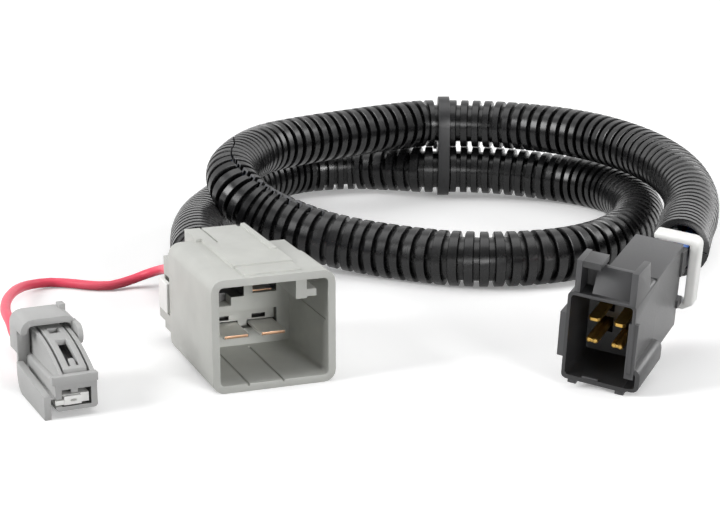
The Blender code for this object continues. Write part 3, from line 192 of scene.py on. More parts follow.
# Each softbox: where it stands, what it points at, its size and its power in watts
SOFTBOXES = {
    "overhead_softbox": ((0.0, 0.0, 1.10), (0.0, 0.0, 0.0), (1.20, 0.90), 4.8),
    "left_softbox": ((-1.00, -0.35, 0.55), (0.0, 0.0, 0.02), (0.6, 0.6), 10.5),
    "right_softbox": ((1.00, 0.45, 0.60), (0.0, 0.0, 0.02), (0.6, 0.6), 5.0),
    "front_softbox": ((0.58, -0.98, 0.22), (-0.01, -0.08, 0.01), (0.35, 0.30), 6.0),
}
for name, (place, target, size, power) in SOFTBOXES.items():
    lamp = bpy.data.lights.new(name, "AREA")
    lamp.shape = "RECTANGLE"
    lamp.size, lamp.size_y = size
    lamp.energy = power
    softbox = bpy.data.objects.new(name, lamp)
    softbox.location = place
    softbox.rotation_euler = (Vector(target) - Vector(place)).to_track_quat("-Z", "Y").to_euler()
    bpy.context.scene.collection.objects.link(softbox)
bpy.context.scene.view_settings.view_transform = "Standard"
print("softboxes:", len(SOFTBOXES))

# %% [markdown]
# The plugs are PBT, a hard satin plastic that leaves its mould with a fine spark-eroded grain. The
# eye sees an even colour with a faint cloudiness, a soft sheen and slightly paler worn edges. The
# grain is a few hundredths of a millimetre on the real plugs, too fine to show here, so it is drawn
# at about a third of a millimetre.

# %% Moulded plastics
GRAIN = 0.00035
GRAIN_HEIGHT = 0.000012
CLOUD = 0.009


def moulded_plastic(name, colour, worn, roughness, specular, coat=0.0):
    """Moulded plastic: a base colour, the colour of its worn edges, and how it shines."""
    made, tree, output = new_material(name)
    place = add_node(tree, "ShaderNodeTexCoord").outputs["Object"]
    cloud = add_node(tree, "ShaderNodeTexNoise", inputs={
        "Vector": place, "Scale": 1 / CLOUD, "Detail": 3.0, "Roughness": 0.55})
    grain = add_node(tree, "ShaderNodeTexNoise", inputs={
        "Vector": place, "Scale": 1 / GRAIN, "Detail": 2.0, "Roughness": 0.6})
    shade = add_node(tree, "ShaderNodeMapRange", inputs={
        "Value": cloud.outputs["Fac"], "From Min": 0.3, "From Max": 0.7,
        "To Min": 0.94, "To Max": 1.05})
    tinted = add_node(tree, "ShaderNodeVectorMath", {"operation": "SCALE"}, {
        0: linear(colour)[:3], "Scale": shade.outputs[0]})
    sharp = add_node(tree, "ShaderNodeNewGeometry").outputs["Pointiness"]
    wear = add_node(tree, "ShaderNodeMapRange", inputs={
        "Value": sharp, "From Min": 0.52, "From Max": 0.60, "To Min": 0.0, "To Max": 0.55})
    skin = add_node(tree, "ShaderNodeMix", {"data_type": "RGBA"}, {
        0: wear.outputs[0], 6: tinted.outputs[0], 7: linear(worn)})
    gloss = add_node(tree, "ShaderNodeMapRange", inputs={
        "Value": grain.outputs["Fac"], "To Min": roughness - 0.06, "To Max": roughness + 0.08})
    bump = add_node(tree, "ShaderNodeBump", inputs={
        "Height": grain.outputs["Fac"], "Distance": GRAIN_HEIGHT, "Strength": 0.6})
    shader = add_node(tree, "ShaderNodeBsdfPrincipled", inputs={
        "Base Color": skin.outputs[2], "Roughness": gloss.outputs[0],
        "Specular IOR Level": specular, "IOR": 1.55, "Coat Weight": coat,
        "Coat Roughness": 0.35, "Normal": bump.outputs[0]})
    tree.links.new(shader.outputs[0], output.inputs[0])
    return made


light_grey_pbt = moulded_plastic("light grey PBT, moulded", "#C3C4BF", "#D0D1CC", 0.48, 0.40)
mid_grey_pbt = moulded_plastic("mid grey PBT, moulded", "#AFAFAE", "#C4C4C3", 0.50, 0.40)
black_pbt = moulded_plastic("black PBT, moulded", "#232324", "#505052", 0.42, 0.50, coat=0.35)
white_nylon = moulded_plastic("white nylon, moulded", "#F8F8F5", "#FDFDFC", 0.42, 0.40)
# A dark grey that paints the shade deep inside the terminal cavities
painted_shade_pbt = moulded_plastic("grey PBT painted dark for cavity shade", "#454542", "#565653", 0.40, 0.40)
black_nylon = moulded_plastic("black nylon tie, moulded", "#1E1E1F", "#444446", 0.36, 0.45)
print("moulded plastics: 6")

# %% [markdown]
# Split loom is blow-moulded polyethylene. It is waxy: black in the valleys, with long soft
# highlights on the ribs and a thin dusty bloom on the crests. Wire insulation is extruded PVC,
# smoother and a little glossy.

# %% Loom and wire plastics
def extruded_plastic(name, colour, bloom, roughness, specular, streak=0.004):
    """Extruded plastic: colour, the colour of its dusty bloom, and its sheen."""
    made, tree, output = new_material(name)
    place = add_node(tree, "ShaderNodeTexCoord").outputs["Object"]
    dust = add_node(tree, "ShaderNodeTexNoise", inputs={
        "Vector": place, "Scale": 1 / streak, "Detail": 4.0, "Roughness": 0.6})
    sharp = add_node(tree, "ShaderNodeNewGeometry").outputs["Pointiness"]
    crest = add_node(tree, "ShaderNodeMapRange", inputs={
        "Value": sharp, "From Min": 0.50, "From Max": 0.58, "To Min": 0.0, "To Max": 1.0})
    amount = add_node(tree, "ShaderNodeMath", {"operation": "MULTIPLY"}, {
        0: crest.outputs[0], 1: dust.outputs["Fac"]})
    skin = add_node(tree, "ShaderNodeMix", {"data_type": "RGBA"}, {
        0: amount.outputs[0], 6: linear(colour), 7: linear(bloom)})
    gloss = add_node(tree, "ShaderNodeMapRange", inputs={
        "Value": dust.outputs["Fac"], "From Min": 0.3, "From Max": 0.7,
        "To Min": roughness - 0.05, "To Max": roughness + 0.07})
    shader = add_node(tree, "ShaderNodeBsdfPrincipled", inputs={
        "Base Color": skin.outputs[2], "Roughness": gloss.outputs[0],
        "Specular IOR Level": specular, "IOR": 1.51})
    tree.links.new(shader.outputs[0], output.inputs[0])
    return made


WIRE_STREAK = 0.002
black_polyethylene = extruded_plastic(
    "black polyethylene, blow moulded", "#0B0B0C", "#1C1C1D", 0.25, 0.50)
# The cut edges are real, but their pale grey is a painted highlight: cut black polyethylene stays
# black
cut_edge_painted_highlight = extruded_plastic("cut edge of polyethylene, pale as painted highlight", "#6E6E70", "#909092", 0.45, 0.40)
red_pvc = extruded_plastic("red PVC insulation", "#FA4C68", "#FB8090", 0.40, 0.40, WIRE_STREAK)
blue_pvc = extruded_plastic("blue PVC insulation", "#2F62B4", "#5A86C8", 0.40, 0.40, WIRE_STREAK)
black_pvc = extruded_plastic("black PVC insulation", "#161617", "#2E2E30", 0.40, 0.40, WIRE_STREAK)
white_pvc = extruded_plastic("white PVC insulation", "#E9E9E6", "#F4F4F2", 0.40, 0.40, WIRE_STREAK)
print("extruded plastics: 6")

# %% [markdown]
# The wide blades are stamped from tin-plated copper alloy strip. Tin gives a soft silver face, and
# the sheared edges show the bare warm metal. The controller's pins are plain brass. Both carry the
# fine lengthwise lines of the rolled strip.

# %% Terminal metals
ROLLING_LINE = 0.0002
STAIN = 0.003


def rolled_strip(name, colour, shadowed, roughness):
    """Stamped metal strip with fine lines left by rolling."""
    made, tree, output = new_material(name)
    place = add_node(tree, "ShaderNodeTexCoord").outputs["Object"]
    lines = add_node(tree, "ShaderNodeTexNoise", inputs={
        "Vector": place, "Scale": 1 / ROLLING_LINE, "Detail": 2.0, "Distortion": 0.3})
    stain = add_node(tree, "ShaderNodeTexNoise", inputs={
        "Vector": place, "Scale": 1 / STAIN, "Detail": 3.0})
    mixed = add_node(tree, "ShaderNodeMix", {"data_type": "RGBA"}, {
        0: stain.outputs["Fac"], 6: linear(shadowed), 7: linear(colour)})
    gloss = add_node(tree, "ShaderNodeMapRange", inputs={
        "Value": lines.outputs["Fac"], "To Min": roughness - 0.06, "To Max": roughness + 0.10})
    shader = add_node(tree, "ShaderNodeBsdfPrincipled", inputs={
        "Base Color": mixed.outputs[2], "Metallic": 1.0, "Roughness": gloss.outputs[0]})
    tree.links.new(shader.outputs[0], output.inputs[0])
    return made


tin_plate = rolled_strip("tin-plated strip", "#FAF9F6", "#F0EEE9", 0.56)
bare_copper = rolled_strip("sheared copper alloy edge", "#C9A488", "#A88468", 0.40)
pin_brass = rolled_strip("brass pin stock", "#EBC878", "#C79A48", 0.38)
print("metals: 3")

# %% [markdown]
# The loom lies in one loop and a bit: from behind the power plug, round the back, along the front,
# up over its own start, round again and down to the controller plug. The route is the same list of
# points that the solid follows. A smooth curve through them is read off at even steps. Where the
# tie pulls the two strands together, the upper one settles until their ribs touch.

# %% Loom route
TIE_AT_X, TIE_AT_Y, TIE_STRAIGHT = 0.0270, 0.0990, 0.0062
LOOM_OUTSIDE = 0.0150
LOOM_LOW, TIE_STACK = 0.0089, 0.0156

LOOM_ROUTE = [
    (-0.0423, -0.0210, 0.0123), (-0.0438, -0.0080, 0.0118), (-0.0450, 0.0060, 0.0110),
    (-0.0456, 0.0205, 0.0096), (-0.0452, 0.0330, 0.0087), (-0.0430, 0.0480, 0.0080),
    (-0.0375, 0.0727, 0.0076), (-0.0305, 0.0896, 0.0077), (-0.0198, 0.1020, 0.0079),
    (-0.0033, 0.1060, 0.0083), (0.0110, 0.1018, 0.0088),
    (TIE_AT_X - TIE_STRAIGHT, TIE_AT_Y, LOOM_LOW), (TIE_AT_X + TIE_STRAIGHT, TIE_AT_Y, LOOM_LOW),
    (0.0468, 0.0966, 0.0087), (0.0600, 0.0925, 0.0080), (0.0710, 0.0860, 0.0076),
    (0.0793, 0.0750, 0.0075), (0.0830, 0.0600, 0.0075), (0.0832, 0.0470, 0.0075),
    (0.0806, 0.0335, 0.0075), (0.0752, 0.0195, 0.0075), (0.0665, 0.0065, 0.0075),
    (0.0547, -0.0027, 0.0075), (0.0390, -0.0070, 0.0075), (0.0250, -0.0060, 0.0075),
    (0.0110, -0.0005, 0.0076), (0.0000, 0.0042, 0.0082), (-0.0090, 0.0072, 0.0095),
    (-0.0195, 0.0125, 0.0119), (-0.0270, 0.0162, 0.0146), (-0.0322, 0.0190, 0.0176),
    (-0.0356, 0.0235, 0.0206), (-0.0370, 0.0310, 0.0225), (-0.0356, 0.0410, 0.0234),
    (-0.0300, 0.0580, 0.0239), (-0.0200, 0.0695, 0.0243), (-0.0051, 0.0820, 0.0246),
    (0.0110, 0.0938, 0.0246),
    (TIE_AT_X - TIE_STRAIGHT, TIE_AT_Y, LOOM_LOW + TIE_STACK),
    (TIE_AT_X + TIE_STRAIGHT, TIE_AT_Y, LOOM_LOW + TIE_STACK),
    (0.0465, 0.0964, 0.0245), (0.0590, 0.0900, 0.0242), (0.0730, 0.0785, 0.0238),
    (0.0825, 0.0640, 0.0233), (0.0890, 0.0470, 0.0226), (0.0923, 0.0300, 0.0214),
    (0.0926, 0.0140, 0.0198), (0.0896, -0.0040, 0.0186), (0.0857, -0.0185, 0.0185),
    (0.0821, -0.0335, 0.0190),
]


KNOT_STEPS = 12


def smooth_path(points, count):
    """Evenly spaced points on a smooth curve through the given ones."""
    knots = [Vector(point) for point in points]
    ends = [knots[0] * 2 - knots[1]] + knots + [knots[-1] * 2 - knots[-2]]
    fine = []
    for before, start, end, after in zip(ends, ends[1:], ends[2:], ends[3:]):
        t1 = max((start - before).length, 1e-6) ** 0.5
        t2 = t1 + max((end - start).length, 1e-6) ** 0.5
        t3 = t2 + max((after - end).length, 1e-6) ** 0.5
        for step in range(KNOT_STEPS):
            t = t1 + (t2 - t1) * step / KNOT_STEPS
            a1 = before.lerp(start, t / t1)
            a2 = start.lerp(end, (t - t1) / (t2 - t1))
            a3 = end.lerp(after, (t - t2) / (t3 - t2))
            b1 = a1.lerp(a2, t / t2)
            b2 = a2.lerp(a3, (t - t1) / (t3 - t1))
            fine.append(b1.lerp(b2, (t - t1) / (t2 - t1)))
    fine.append(knots[-1])
    reach = [0.0]
    for start, end in zip(fine, fine[1:]):
        reach.append(reach[-1] + (end - start).length)
    path, at = [], 0
    for index in range(count):
        wanted = reach[-1] * index / (count - 1)
        while at < len(fine) - 2 and reach[at + 1] < wanted:
            at += 1
        share = (wanted - reach[at]) / (reach[at + 1] - reach[at])
        path.append(fine[at].lerp(fine[at + 1], share))
    return path


def path_length(path):
    """The length of a path from point to point."""
    return sum((end - start).length for start, end in zip(path, path[1:]))


def line_curve(name, path):
    """A curve object that runs straight from point to point."""
    data = bpy.data.curves.new(name, "CURVE")
    data.dimensions = "3D"
    data.twist_mode = "Z_UP"
    spline = data.splines.new("POLY")
    spline.points.add(len(path) - 1)
    for point, here in zip(spline.points, path):
        point.co = (*here, 1.0)
    made = bpy.data.objects.new(name, data)
    bpy.context.scene.collection.objects.link(made)
    return made


LOOM_MOUTH = (0.0808, -0.0389, 0.0192)
LOOM_STEPS = 420
SETTLED = 0.0241
loom_path = [point + BENCH_SHIFT for point in smooth_path(LOOM_ROUTE + [LOOM_MOUTH], LOOM_STEPS)]
for point in loom_path:
    point.z = min(point.z, SETTLED)
loom_length = path_length(loom_path)
print("loom length, m:", round(loom_length, 4))

# %% [markdown]
# Split loom could be one long lathe shape, but by hand it is quicker to model a single rib and
# repeat it. A circle is extruded along its axis and scaled into a flat-topped rib with rounded
# shoulders, one column of faces is deleted for the slit, and Array and Curve modifiers lay the rib
# along the route. Solidify then gives the wall its thickness.

# %% Ribbed loom
RIB_PITCH = 0.0037
RIB_HEIGHT = 0.0016
LOOM_SIDES = 32
LOOM_WALL = 0.0007
LOOM_SLIT = 0.0004
RIB_WELD = 0.00002
RIB_SMOOTH = math.radians(50)
# Steps along one rib: share of the pitch, and share of the rib's height
RIB_STEPS = [(0.34, 0.0), (0.36, 0.84), (0.40, 1.0), (0.94, 1.0), (0.98, 0.84), (1.0, 0.0)]
# How far the slit has turned from the top, in degrees, at shares of the loom's length
SLIT_TURNS = [(0.0, -100), (0.36, -110), (0.44, -230), (0.50, -275), (0.535, -310),
              (0.556, -356), (0.570, -366), (0.600, -364), (0.620, -357), (0.634, -384),
              (0.65, -420), (0.70, -450), (1.0, -460)]
GAPE_FROM, GAPE_TO, GAPE, GAPE_ROUND = 0.552, 0.608, math.radians(16), 0.6
# The ribs crowd on the tight bend: a share of the ribs, and the share of the length they reach
CROWDING = [(0.0, 0.0), (0.5631, 0.578), (0.6492, 0.640), (1.0, 1.0)]


def read_off(table, share):
    """The value at one place, read off a table between its two nearest entries."""
    for (low, start), (high, end) in zip(table, table[1:]):
        if share <= high:
            return start + (end - start) * (share - low) / (high - low)
    return table[-1][1]


bpy.ops.object.select_all(action="DESELECT")
valley = LOOM_OUTSIDE / 2 - RIB_HEIGHT
bpy.ops.mesh.primitive_circle_add(vertices=LOOM_SIDES, radius=valley)
loom = bpy.context.object
loom.name = "loom_ribbed"
loom.data.materials.append(black_polyethylene)
loom.data.materials.append(cut_edge_painted_highlight)
half_slit = LOOM_SLIT / 2 / valley
for index, corner in enumerate(loom.data.vertices):
    angle = half_slit + (2 * math.pi - 2 * half_slit) * index / (LOOM_SIDES - 1)
    corner.co = (0.0, valley * math.sin(angle), valley * math.cos(angle))
bpy.ops.object.mode_set(mode="EDIT")
bpy.ops.mesh.select_all(action="SELECT")
rib_count = round(loom_length / RIB_PITCH)
pitch = loom_length / rib_count
along, radius = 0.0, valley
for share, height in RIB_STEPS:
    step = pitch * share - along
    wanted = valley + RIB_HEIGHT * height
    bpy.ops.mesh.extrude_region_move(TRANSFORM_OT_translate={"value": (step, 0.0, 0.0)})
    growth = wanted / radius
    bpy.ops.transform.resize(value=(1.0, growth, growth), center_override=(0.0, 0.0, 0.0))
    along, radius = pitch * share, wanted
bpy.ops.mesh.select_all(action="SELECT")
bpy.ops.mesh.normals_make_consistent(inside=False)
bpy.ops.mesh.select_all(action="DESELECT")
bpy.ops.object.mode_set(mode="OBJECT")
for face in loom.data.polygons:
    face.select = abs(face.center.y) < LOOM_SLIT and face.center.z > 0.0
bpy.ops.object.mode_set(mode="EDIT")
bpy.ops.mesh.select_mode(type="FACE")
bpy.ops.mesh.delete(type="FACE")
bpy.ops.object.mode_set(mode="OBJECT")

guide = line_curve("loom_guide", loom_path)
for index, point in enumerate(guide.data.splines[0].points):
    point.tilt = math.radians(read_off(SLIT_TURNS, index / (len(loom_path) - 1)))
repeat = loom.modifiers.new("ribs", "ARRAY")
repeat.count = rib_count
repeat.use_relative_offset = False
repeat.use_constant_offset = True
repeat.constant_offset_displace = (pitch, 0.0, 0.0)
repeat.use_merge_vertices = True
repeat.merge_threshold = RIB_WELD
wall = loom.modifiers.new("wall", "SOLIDIFY")
wall.thickness = LOOM_WALL
wall.offset = -1.0
# The rim, which holds the cut edges of the slit and the ends, takes the pale grey of the painted
# highlight
wall.material_offset_rim = 1
for step in ("ribs", "wall"):
    bpy.ops.object.modifier_apply(modifier=step)

# On the tight bend the slit gapes: its far lip is turned back, less and less round the loom
for corner in loom.data.vertices:
    share = read_off(CROWDING, corner.co.x / loom_length)
    corner.co.x = share * loom_length
    around = math.atan2(corner.co.y, corner.co.z)
    if around < 0.0 and GAPE_FROM < share < GAPE_TO:
        swell = math.sin(math.pi * (share - GAPE_FROM) / (GAPE_TO - GAPE_FROM))
        turn = -GAPE * swell ** GAPE_ROUND * (1 - abs(around) / math.pi)
        reach = math.hypot(corner.co.y, corner.co.z)
        corner.co.y = reach * math.sin(around + turn)
        corner.co.z = reach * math.cos(around + turn)

lay = loom.modifiers.new("route", "CURVE")
lay.object = guide
lay.deform_axis = "POS_X"
bpy.ops.object.modifier_apply(modifier="route")
bpy.data.objects.remove(guide, do_unlink=True)
bpy.ops.object.shade_smooth_by_angle(angle=RIB_SMOOTH)
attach(loom, HARNESS)
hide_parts("loom_conduit")
print("ribs:", rib_count, "faces:", len(loom.data.polygons))

# %% [markdown]
# Four insulated wires run inside the loom and show only at its ends. Each is a round curve along
# its own route: out of a plug, into the loom beside its neighbours, slowly twisting with them, and
# into the controller plug. The red one leaves the loom early and curls round to the signal plug.

# %% Plug frames and wire routes
def plug_frame(place, turn):
    """The place of a plug on the bench, as a matrix: turn is pitch, roll and yaw in degrees."""
    nod, roll, yaw = (math.radians(angle) for angle in turn)
    turned = (Matrix.Rotation(yaw, 4, "Z") @ Matrix.Rotation(nod, 4, "X")
              @ Matrix.Rotation(roll, 4, "Y"))
    return Matrix.Translation(Vector(place) + BENCH_SHIFT) @ turned


POWER_PLUG = plug_frame((-0.01932, -0.09121, 0.0), (0.0, 0.0, 20.9))
SIGNAL_PLUG = plug_frame((-0.06837, -0.11295, 0.0), (0.0, 0.0, 25.0))
CONTROLLER_PLUG = plug_frame((0.05424, -0.09477, 0.001521), (8.8, 6.23, -25.9))

SIGNAL_BRANCH = [
    (-0.0854, -0.0590, 0.0057), (-0.0886, -0.0485, 0.0055), (-0.0906, -0.0344, 0.0045),
    (-0.0906, -0.0206, 0.0030), (-0.0886, -0.0130, 0.0020), (-0.0840, -0.0090, 0.0015),
    (-0.0785, -0.0096, 0.0014), (-0.0728, -0.0116, 0.0014), (-0.0673, -0.0122, 0.0015),
    (-0.0623, -0.0094, 0.0022), (-0.0577, -0.0092, 0.0039), (-0.0543, -0.0120, 0.0057),
    (-0.0522, -0.0165, 0.0073), (-0.0508, -0.0220, 0.0086), (-0.0490, -0.0272, 0.0094),
    (-0.0463, -0.0290, 0.0098), (-0.0446, -0.0258, 0.0100),
]
WIRE_SPREAD = 0.0021
WIRE_TWIST = 90.0
WIRE_STEPS = 260
WIRE_REST = 0.00015
# How far back in its plug each wire starts and where it comes out; the signal wire also runs on
POWER_INSIDE, POWER_REAR = 0.0423, 0.0460
CONTROLLER_INSIDE, CONTROLLER_REAR = 0.0303, 0.0360
SIGNAL_X, SIGNAL_Z, SIGNAL_BACK = 0.0065, 0.0045, (0.0238, 0.0276, 0.0485)


def bench(points):
    """Points moved from the plan to their place on the bench."""
    return [Vector(point) + BENCH_SHIFT for point in points]


def in_loom(right, up):
    """The loom's route moved to one side, twisting a quarter turn from end to end."""
    knots = bench(LOOM_ROUTE)
    last = len(knots) - 1
    moved = []
    for index, here in enumerate(knots):
        along = (knots[min(index + 1, last)] - knots[max(index - 1, 0)]).normalized()
        side = along.cross(Vector((0, 0, 1))).normalized()
        turn = math.radians(WIRE_TWIST) * index / last
        across = right * math.cos(turn) - up * math.sin(turn)
        above = right * math.sin(turn) + up * math.cos(turn)
        moved.append(here + side * across + side.cross(along) * above)
    return moved


def power_end(x, row, thick):
    """A wire's first points, out of the power plug."""
    z = row + thick / 2 + WIRE_REST
    return [POWER_PLUG @ Vector((x, y, z)) for y in (POWER_INSIDE, POWER_REAR, POWER_REAR + thick)]


def controller_end(x, z, thick):
    """A wire's last points, into the controller plug."""
    return [CONTROLLER_PLUG @ Vector((x, y, z))
            for y in (CONTROLLER_REAR + thick, CONTROLLER_REAR, CONTROLLER_INSIDE)]


# Each wire: node, thickness, place in the loom, both ends and its finish
WIRES = [
    ("battery_wire", 0.0032, (-1, 1), power_end(-0.00295, 0.0062, 0.0032),
     controller_end(0.0016, 0.0084, 0.0032), black_pvc, "black_pvc"),
    ("ground_wire", 0.0032, (1, -1), power_end(0.00625, 0.0062, 0.0032),
     controller_end(-0.0044, 0.01375, 0.0032), white_pvc, "white_pvc"),
    ("brake_wire", 0.0028, (1, 1), power_end(0.00625, 0.0140, 0.0028),
     controller_end(0.0016, 0.01375, 0.0028), blue_pvc, "blue_pvc"),
    ("signal_wire", 0.0026, (-1, -1),
     [SIGNAL_PLUG @ Vector((SIGNAL_X, y, SIGNAL_Z)) for y in SIGNAL_BACK]
     + bench(SIGNAL_BRANCH), controller_end(-0.0044, 0.0084, 0.0026), red_pvc, "red_pvc"),
]

for node, thick, (right, up), start, end, finish, slot in WIRES:
    route = start + in_loom(right * WIRE_SPREAD, up * WIRE_SPREAD) + end
    path = smooth_path(route, WIRE_STEPS)
    piece = line_curve(node + "_insulated", path)
    piece.data.bevel_depth = thick / 2
    piece.data.bevel_resolution = 4
    piece.data.use_fill_caps = True
    piece.data.materials.append(finish)
    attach(piece, HARNESS)
    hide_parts(node)
    print(node, "length, m:", round(path_length(path), 4))

# %% [markdown]
# The plugs' solids already have the right shapes, but a moulding has no sharp edge: every corner
# carries a small radius that catches a line of light. A copy of each solid is merged into clean
# faces, its flat triangles are dissolved into whole faces, and its sharp edges get a narrow bevel.

# %% Moulded plug bodies
SOLID_WELD = 0.000004
EDGE_SEGMENTS = 3
FLAT_WITHIN, SHARP_OVER, SMOOTH_UNDER = math.radians(0.6), math.radians(40), math.radians(38)


def moulded_copy(node, name, edge, finish, body=HARNESS):
    """A finished copy of a solid: clean faces, small edge radius, its own finish."""
    piece = bpy.data.objects.new(name, nodes[node].data.copy())
    bpy.context.scene.collection.objects.link(piece)
    take_up(piece)
    bpy.ops.object.mode_set(mode="EDIT")
    bpy.ops.mesh.select_all(action="SELECT")
    bpy.ops.mesh.remove_doubles(threshold=SOLID_WELD)
    bpy.ops.mesh.dissolve_limited(angle_limit=FLAT_WITHIN)
    bpy.ops.object.mode_set(mode="OBJECT")
    rounding = piece.modifiers.new("edges", "BEVEL")
    rounding.width = edge
    rounding.segments = EDGE_SEGMENTS
    rounding.limit_method = "ANGLE"
    rounding.angle_limit = SHARP_OVER
    rounding.use_clamp_overlap = True
    bpy.ops.object.modifier_apply(modifier="edges")
    bpy.ops.object.shade_smooth_by_angle(angle=SMOOTH_UNDER)
    piece.data.materials.clear()
    piece.data.materials.append(finish)
    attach(piece, body)
    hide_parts(node)
    return piece


BODIES = [
    ("power_housing", 0.00025, light_grey_pbt, "grey_pbt", HARNESS),
    ("signal_housing", 0.00018, mid_grey_pbt, "mid_grey_pbt", HARNESS),
    ("signal_latch", 0.00015, mid_grey_pbt, "mid_grey_pbt", "signal_latch"),
    ("controller_housing", 0.00018, black_pbt, "black_pbt", HARNESS),
    ("power_lock", 0.00020, white_nylon, "white_nylon", "power_lock"),
    ("signal_lock", 0.00015, white_nylon, "white_nylon", "signal_lock"),
    ("controller_lock", 0.00055, white_nylon, "white_nylon", "controller_lock"),
    ("cable_tie", 0.00015, black_nylon, "black_nylon", HARNESS),
]
plug_pieces = {}
for node, edge, finish, slot, body in BODIES:
    plug_pieces[node] = moulded_copy(node, node + "_moulded", edge, finish, body)
    print(node, "faces:", len(plug_pieces[node].data.polygons))

# %% [markdown]
# A cable tie bites into soft loom, whose ribs give a little under it. The tie's loop is drawn in
# about its own middle, which brings it down almost level with the ribs.

# %% Pull the tie tight
TIE_BITE = 0.97
tie = plug_pieces["cable_tie"]
take_up(tie)
bpy.ops.object.mode_set(mode="EDIT")
bpy.ops.mesh.select_all(action="SELECT")
bpy.ops.transform.resize(value=(1.0, TIE_BITE, TIE_BITE), center_override=Vector(
    (TIE_AT_X, TIE_AT_Y, LOOM_LOW + TIE_STACK / 2)) + BENCH_SHIFT)
bpy.ops.object.mode_set(mode="OBJECT")
print("tie top at, m:", round(max(corner.co.z for corner in tie.data.vertices), 4))

# %% [markdown]
# The signal plug's arched back is closed behind the latch by a thin wall, so no light shows through
# the latch's window. It is a cube brought to size, with its edges rounded, set in the plug's frame.
# It stops short of the latch, which needs room to dip.

# %% Wall behind the signal latch
WALL_X, WALL_Y, WALL_Z = (0.0018, 0.0122), (0.0241, 0.0250), (0.0080, 0.0158)
WALL_EDGE = 0.0002
bpy.ops.object.select_all(action="DESELECT")
bpy.ops.mesh.primitive_cube_add(size=1.0)
rear_wall = bpy.context.object
rear_wall.name = "signal_rear_wall"
bpy.ops.object.mode_set(mode="EDIT")
bpy.ops.mesh.select_all(action="SELECT")
bpy.ops.transform.resize(value=[high - low for low, high in (WALL_X, WALL_Y, WALL_Z)])
bpy.ops.mesh.bevel(offset=WALL_EDGE, segments=2, affect="EDGES")
bpy.ops.object.mode_set(mode="OBJECT")
middle = Vector([(low + high) / 2 for low, high in (WALL_X, WALL_Y, WALL_Z)])
rear_wall.data.transform(SIGNAL_PLUG @ Matrix.Translation(middle))
bpy.ops.object.shade_smooth_by_angle(angle=SMOOTH_UNDER)
rear_wall.data.materials.append(mid_grey_pbt)
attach(rear_wall, HARNESS)
print("rear wall faces:", len(rear_wall.data.polygons))

# %% [markdown]
# Behind its back wall the power plug is a block of terminal cavities. Their walls are given a dark
# grey that paints in the shade deep inside them, so the windows and release slots read as holes. The
# mouth of the signal plug gets the same painted shade. The faces are picked by their place in each
# plug's own frame.

# %% Terminal cavities in painted shade
# Each cavity: the plug's frame, then its reach in x, y and z in that frame
CAVITIES = {
    "power_housing": (POWER_PLUG, (-0.0068, 0.0105), (0.0306, 0.0456), (0.0052, 0.0186)),
    "signal_housing": (SIGNAL_PLUG, (0.0036, 0.0110), (0.0004, 0.0104), (0.0024, 0.0079)),
}
# Faces inside each cavity take the dark grey as painted shade
for node, (place, *reaches) in CAVITIES.items():
    housing = plug_pieces[node].data
    housing.materials.append(painted_shade_pbt)
    to_plug = place.inverted()
    shaded = 0
    for face in housing.polygons:
        spot = to_plug @ face.center
        if all(low < value < high for value, (low, high) in zip(spot, reaches)):
            face.material_index = 1
            shaded += 1
    print(node, "greased faces:", shaded)

# %% [markdown]
# The terminals are stamped from strip. Their solids get a fine edge radius, finer than a moulding's,
# and the rolled finish of the metal.

# %% Terminals
TERMINALS = [
    ("power_blade_left", 0.00010, tin_plate, "tinned_brass"),
    ("power_blade_right", 0.00010, tin_plate, "tinned_brass"),
    ("power_terminal_upper", 0.00010, tin_plate, "tinned_brass"),
    ("signal_terminal", 0.00010, tin_plate, "tinned_brass"),
    ("controller_pin_upper_left", 0.00012, pin_brass, "brass"),
    ("controller_pin_upper_right", 0.00012, pin_brass, "brass"),
    ("controller_pin_lower_left", 0.00012, pin_brass, "brass"),
    ("controller_pin_lower_right", 0.00012, pin_brass, "brass"),
]
for node, edge, finish, slot in TERMINALS:
    plug_pieces[node] = moulded_copy(node, node + "_stamped", edge, finish)
print("terminals:", len(TERMINALS))

# %% [markdown]
# Stamping shears the strip, so the blades' front edges show bare copper alloy where the tin plate
# was cut through. Those faces look straight out of the plug, and they are picked by their normal.

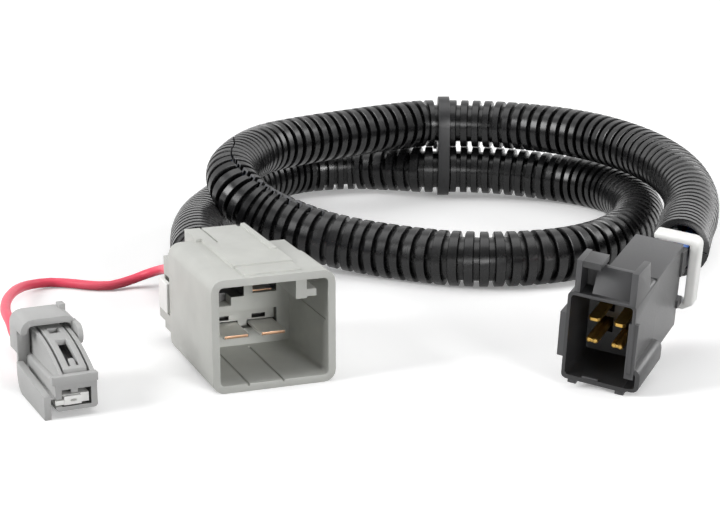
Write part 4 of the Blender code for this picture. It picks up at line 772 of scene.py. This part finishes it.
# %% Sheared blade edges
SQUARE_ON = 0.75
outward = -POWER_PLUG.col[1].to_3d()
for node in ("power_blade_left", "power_blade_right", "power_terminal_upper"):
    blade = plug_pieces[node].data
    blade.materials.append(bare_copper)
    sheared = [face for face in blade.polygons if face.normal.dot(outward) > SQUARE_ON]
    for face in sheared:
        face.material_index = 1
    print(node, "sheared faces:", len(sheared))

# %% [markdown]
# The controller's lower pins are folded: the strip is rolled in from both sides, which leaves two
# round lobes with a groove between them. One lobe is a cylinder with a rounded tip. It is copied to
# its four places and joined to the flat pins.

# %% Folded lower pins
LOBE_RADIUS, LOBE_SPACING, LOBE_SIDES = 0.00066, 0.00074, 20
LOBE_FRONT, LOBE_BACK, LOBE_TIP = 0.0049, 0.0200, 0.00035
PIN_COLUMNS, PIN_ROW = {"left": -0.0044, "right": 0.0016}, 0.0084

bpy.ops.object.select_all(action="DESELECT")
bpy.ops.mesh.primitive_cylinder_add(
    vertices=LOBE_SIDES, radius=LOBE_RADIUS, depth=LOBE_BACK - LOBE_FRONT)
lobe = bpy.context.object
bpy.ops.object.mode_set(mode="EDIT")
bpy.ops.mesh.select_all(action="SELECT")
bpy.ops.mesh.bevel(offset=LOBE_TIP, segments=3)
bpy.ops.object.mode_set(mode="OBJECT")
for side, column in PIN_COLUMNS.items():
    pin = plug_pieces["controller_pin_lower_" + side]
    bpy.ops.object.select_all(action="DESELECT")
    for offset in (-LOBE_SPACING, LOBE_SPACING):
        copy = bpy.data.objects.new("pin_lobe", lobe.data.copy())
        bpy.context.scene.collection.objects.link(copy)
        middle = Vector((column + offset, (LOBE_FRONT + LOBE_BACK) / 2, PIN_ROW))
        laid = Matrix.Translation(middle) @ Matrix.Rotation(math.pi / 2, 4, "X")
        copy.data.transform(CONTROLLER_PLUG @ laid)
        copy.data.materials.append(pin_brass)
        copy.select_set(True)
    pin.select_set(True)
    bpy.context.view_layer.objects.active = pin
    bpy.ops.object.join()
    bpy.ops.object.shade_smooth_by_angle(angle=SMOOTH_UNDER)
bpy.data.objects.remove(lobe, do_unlink=True)
print("folded pins:", len(PIN_COLUMNS))
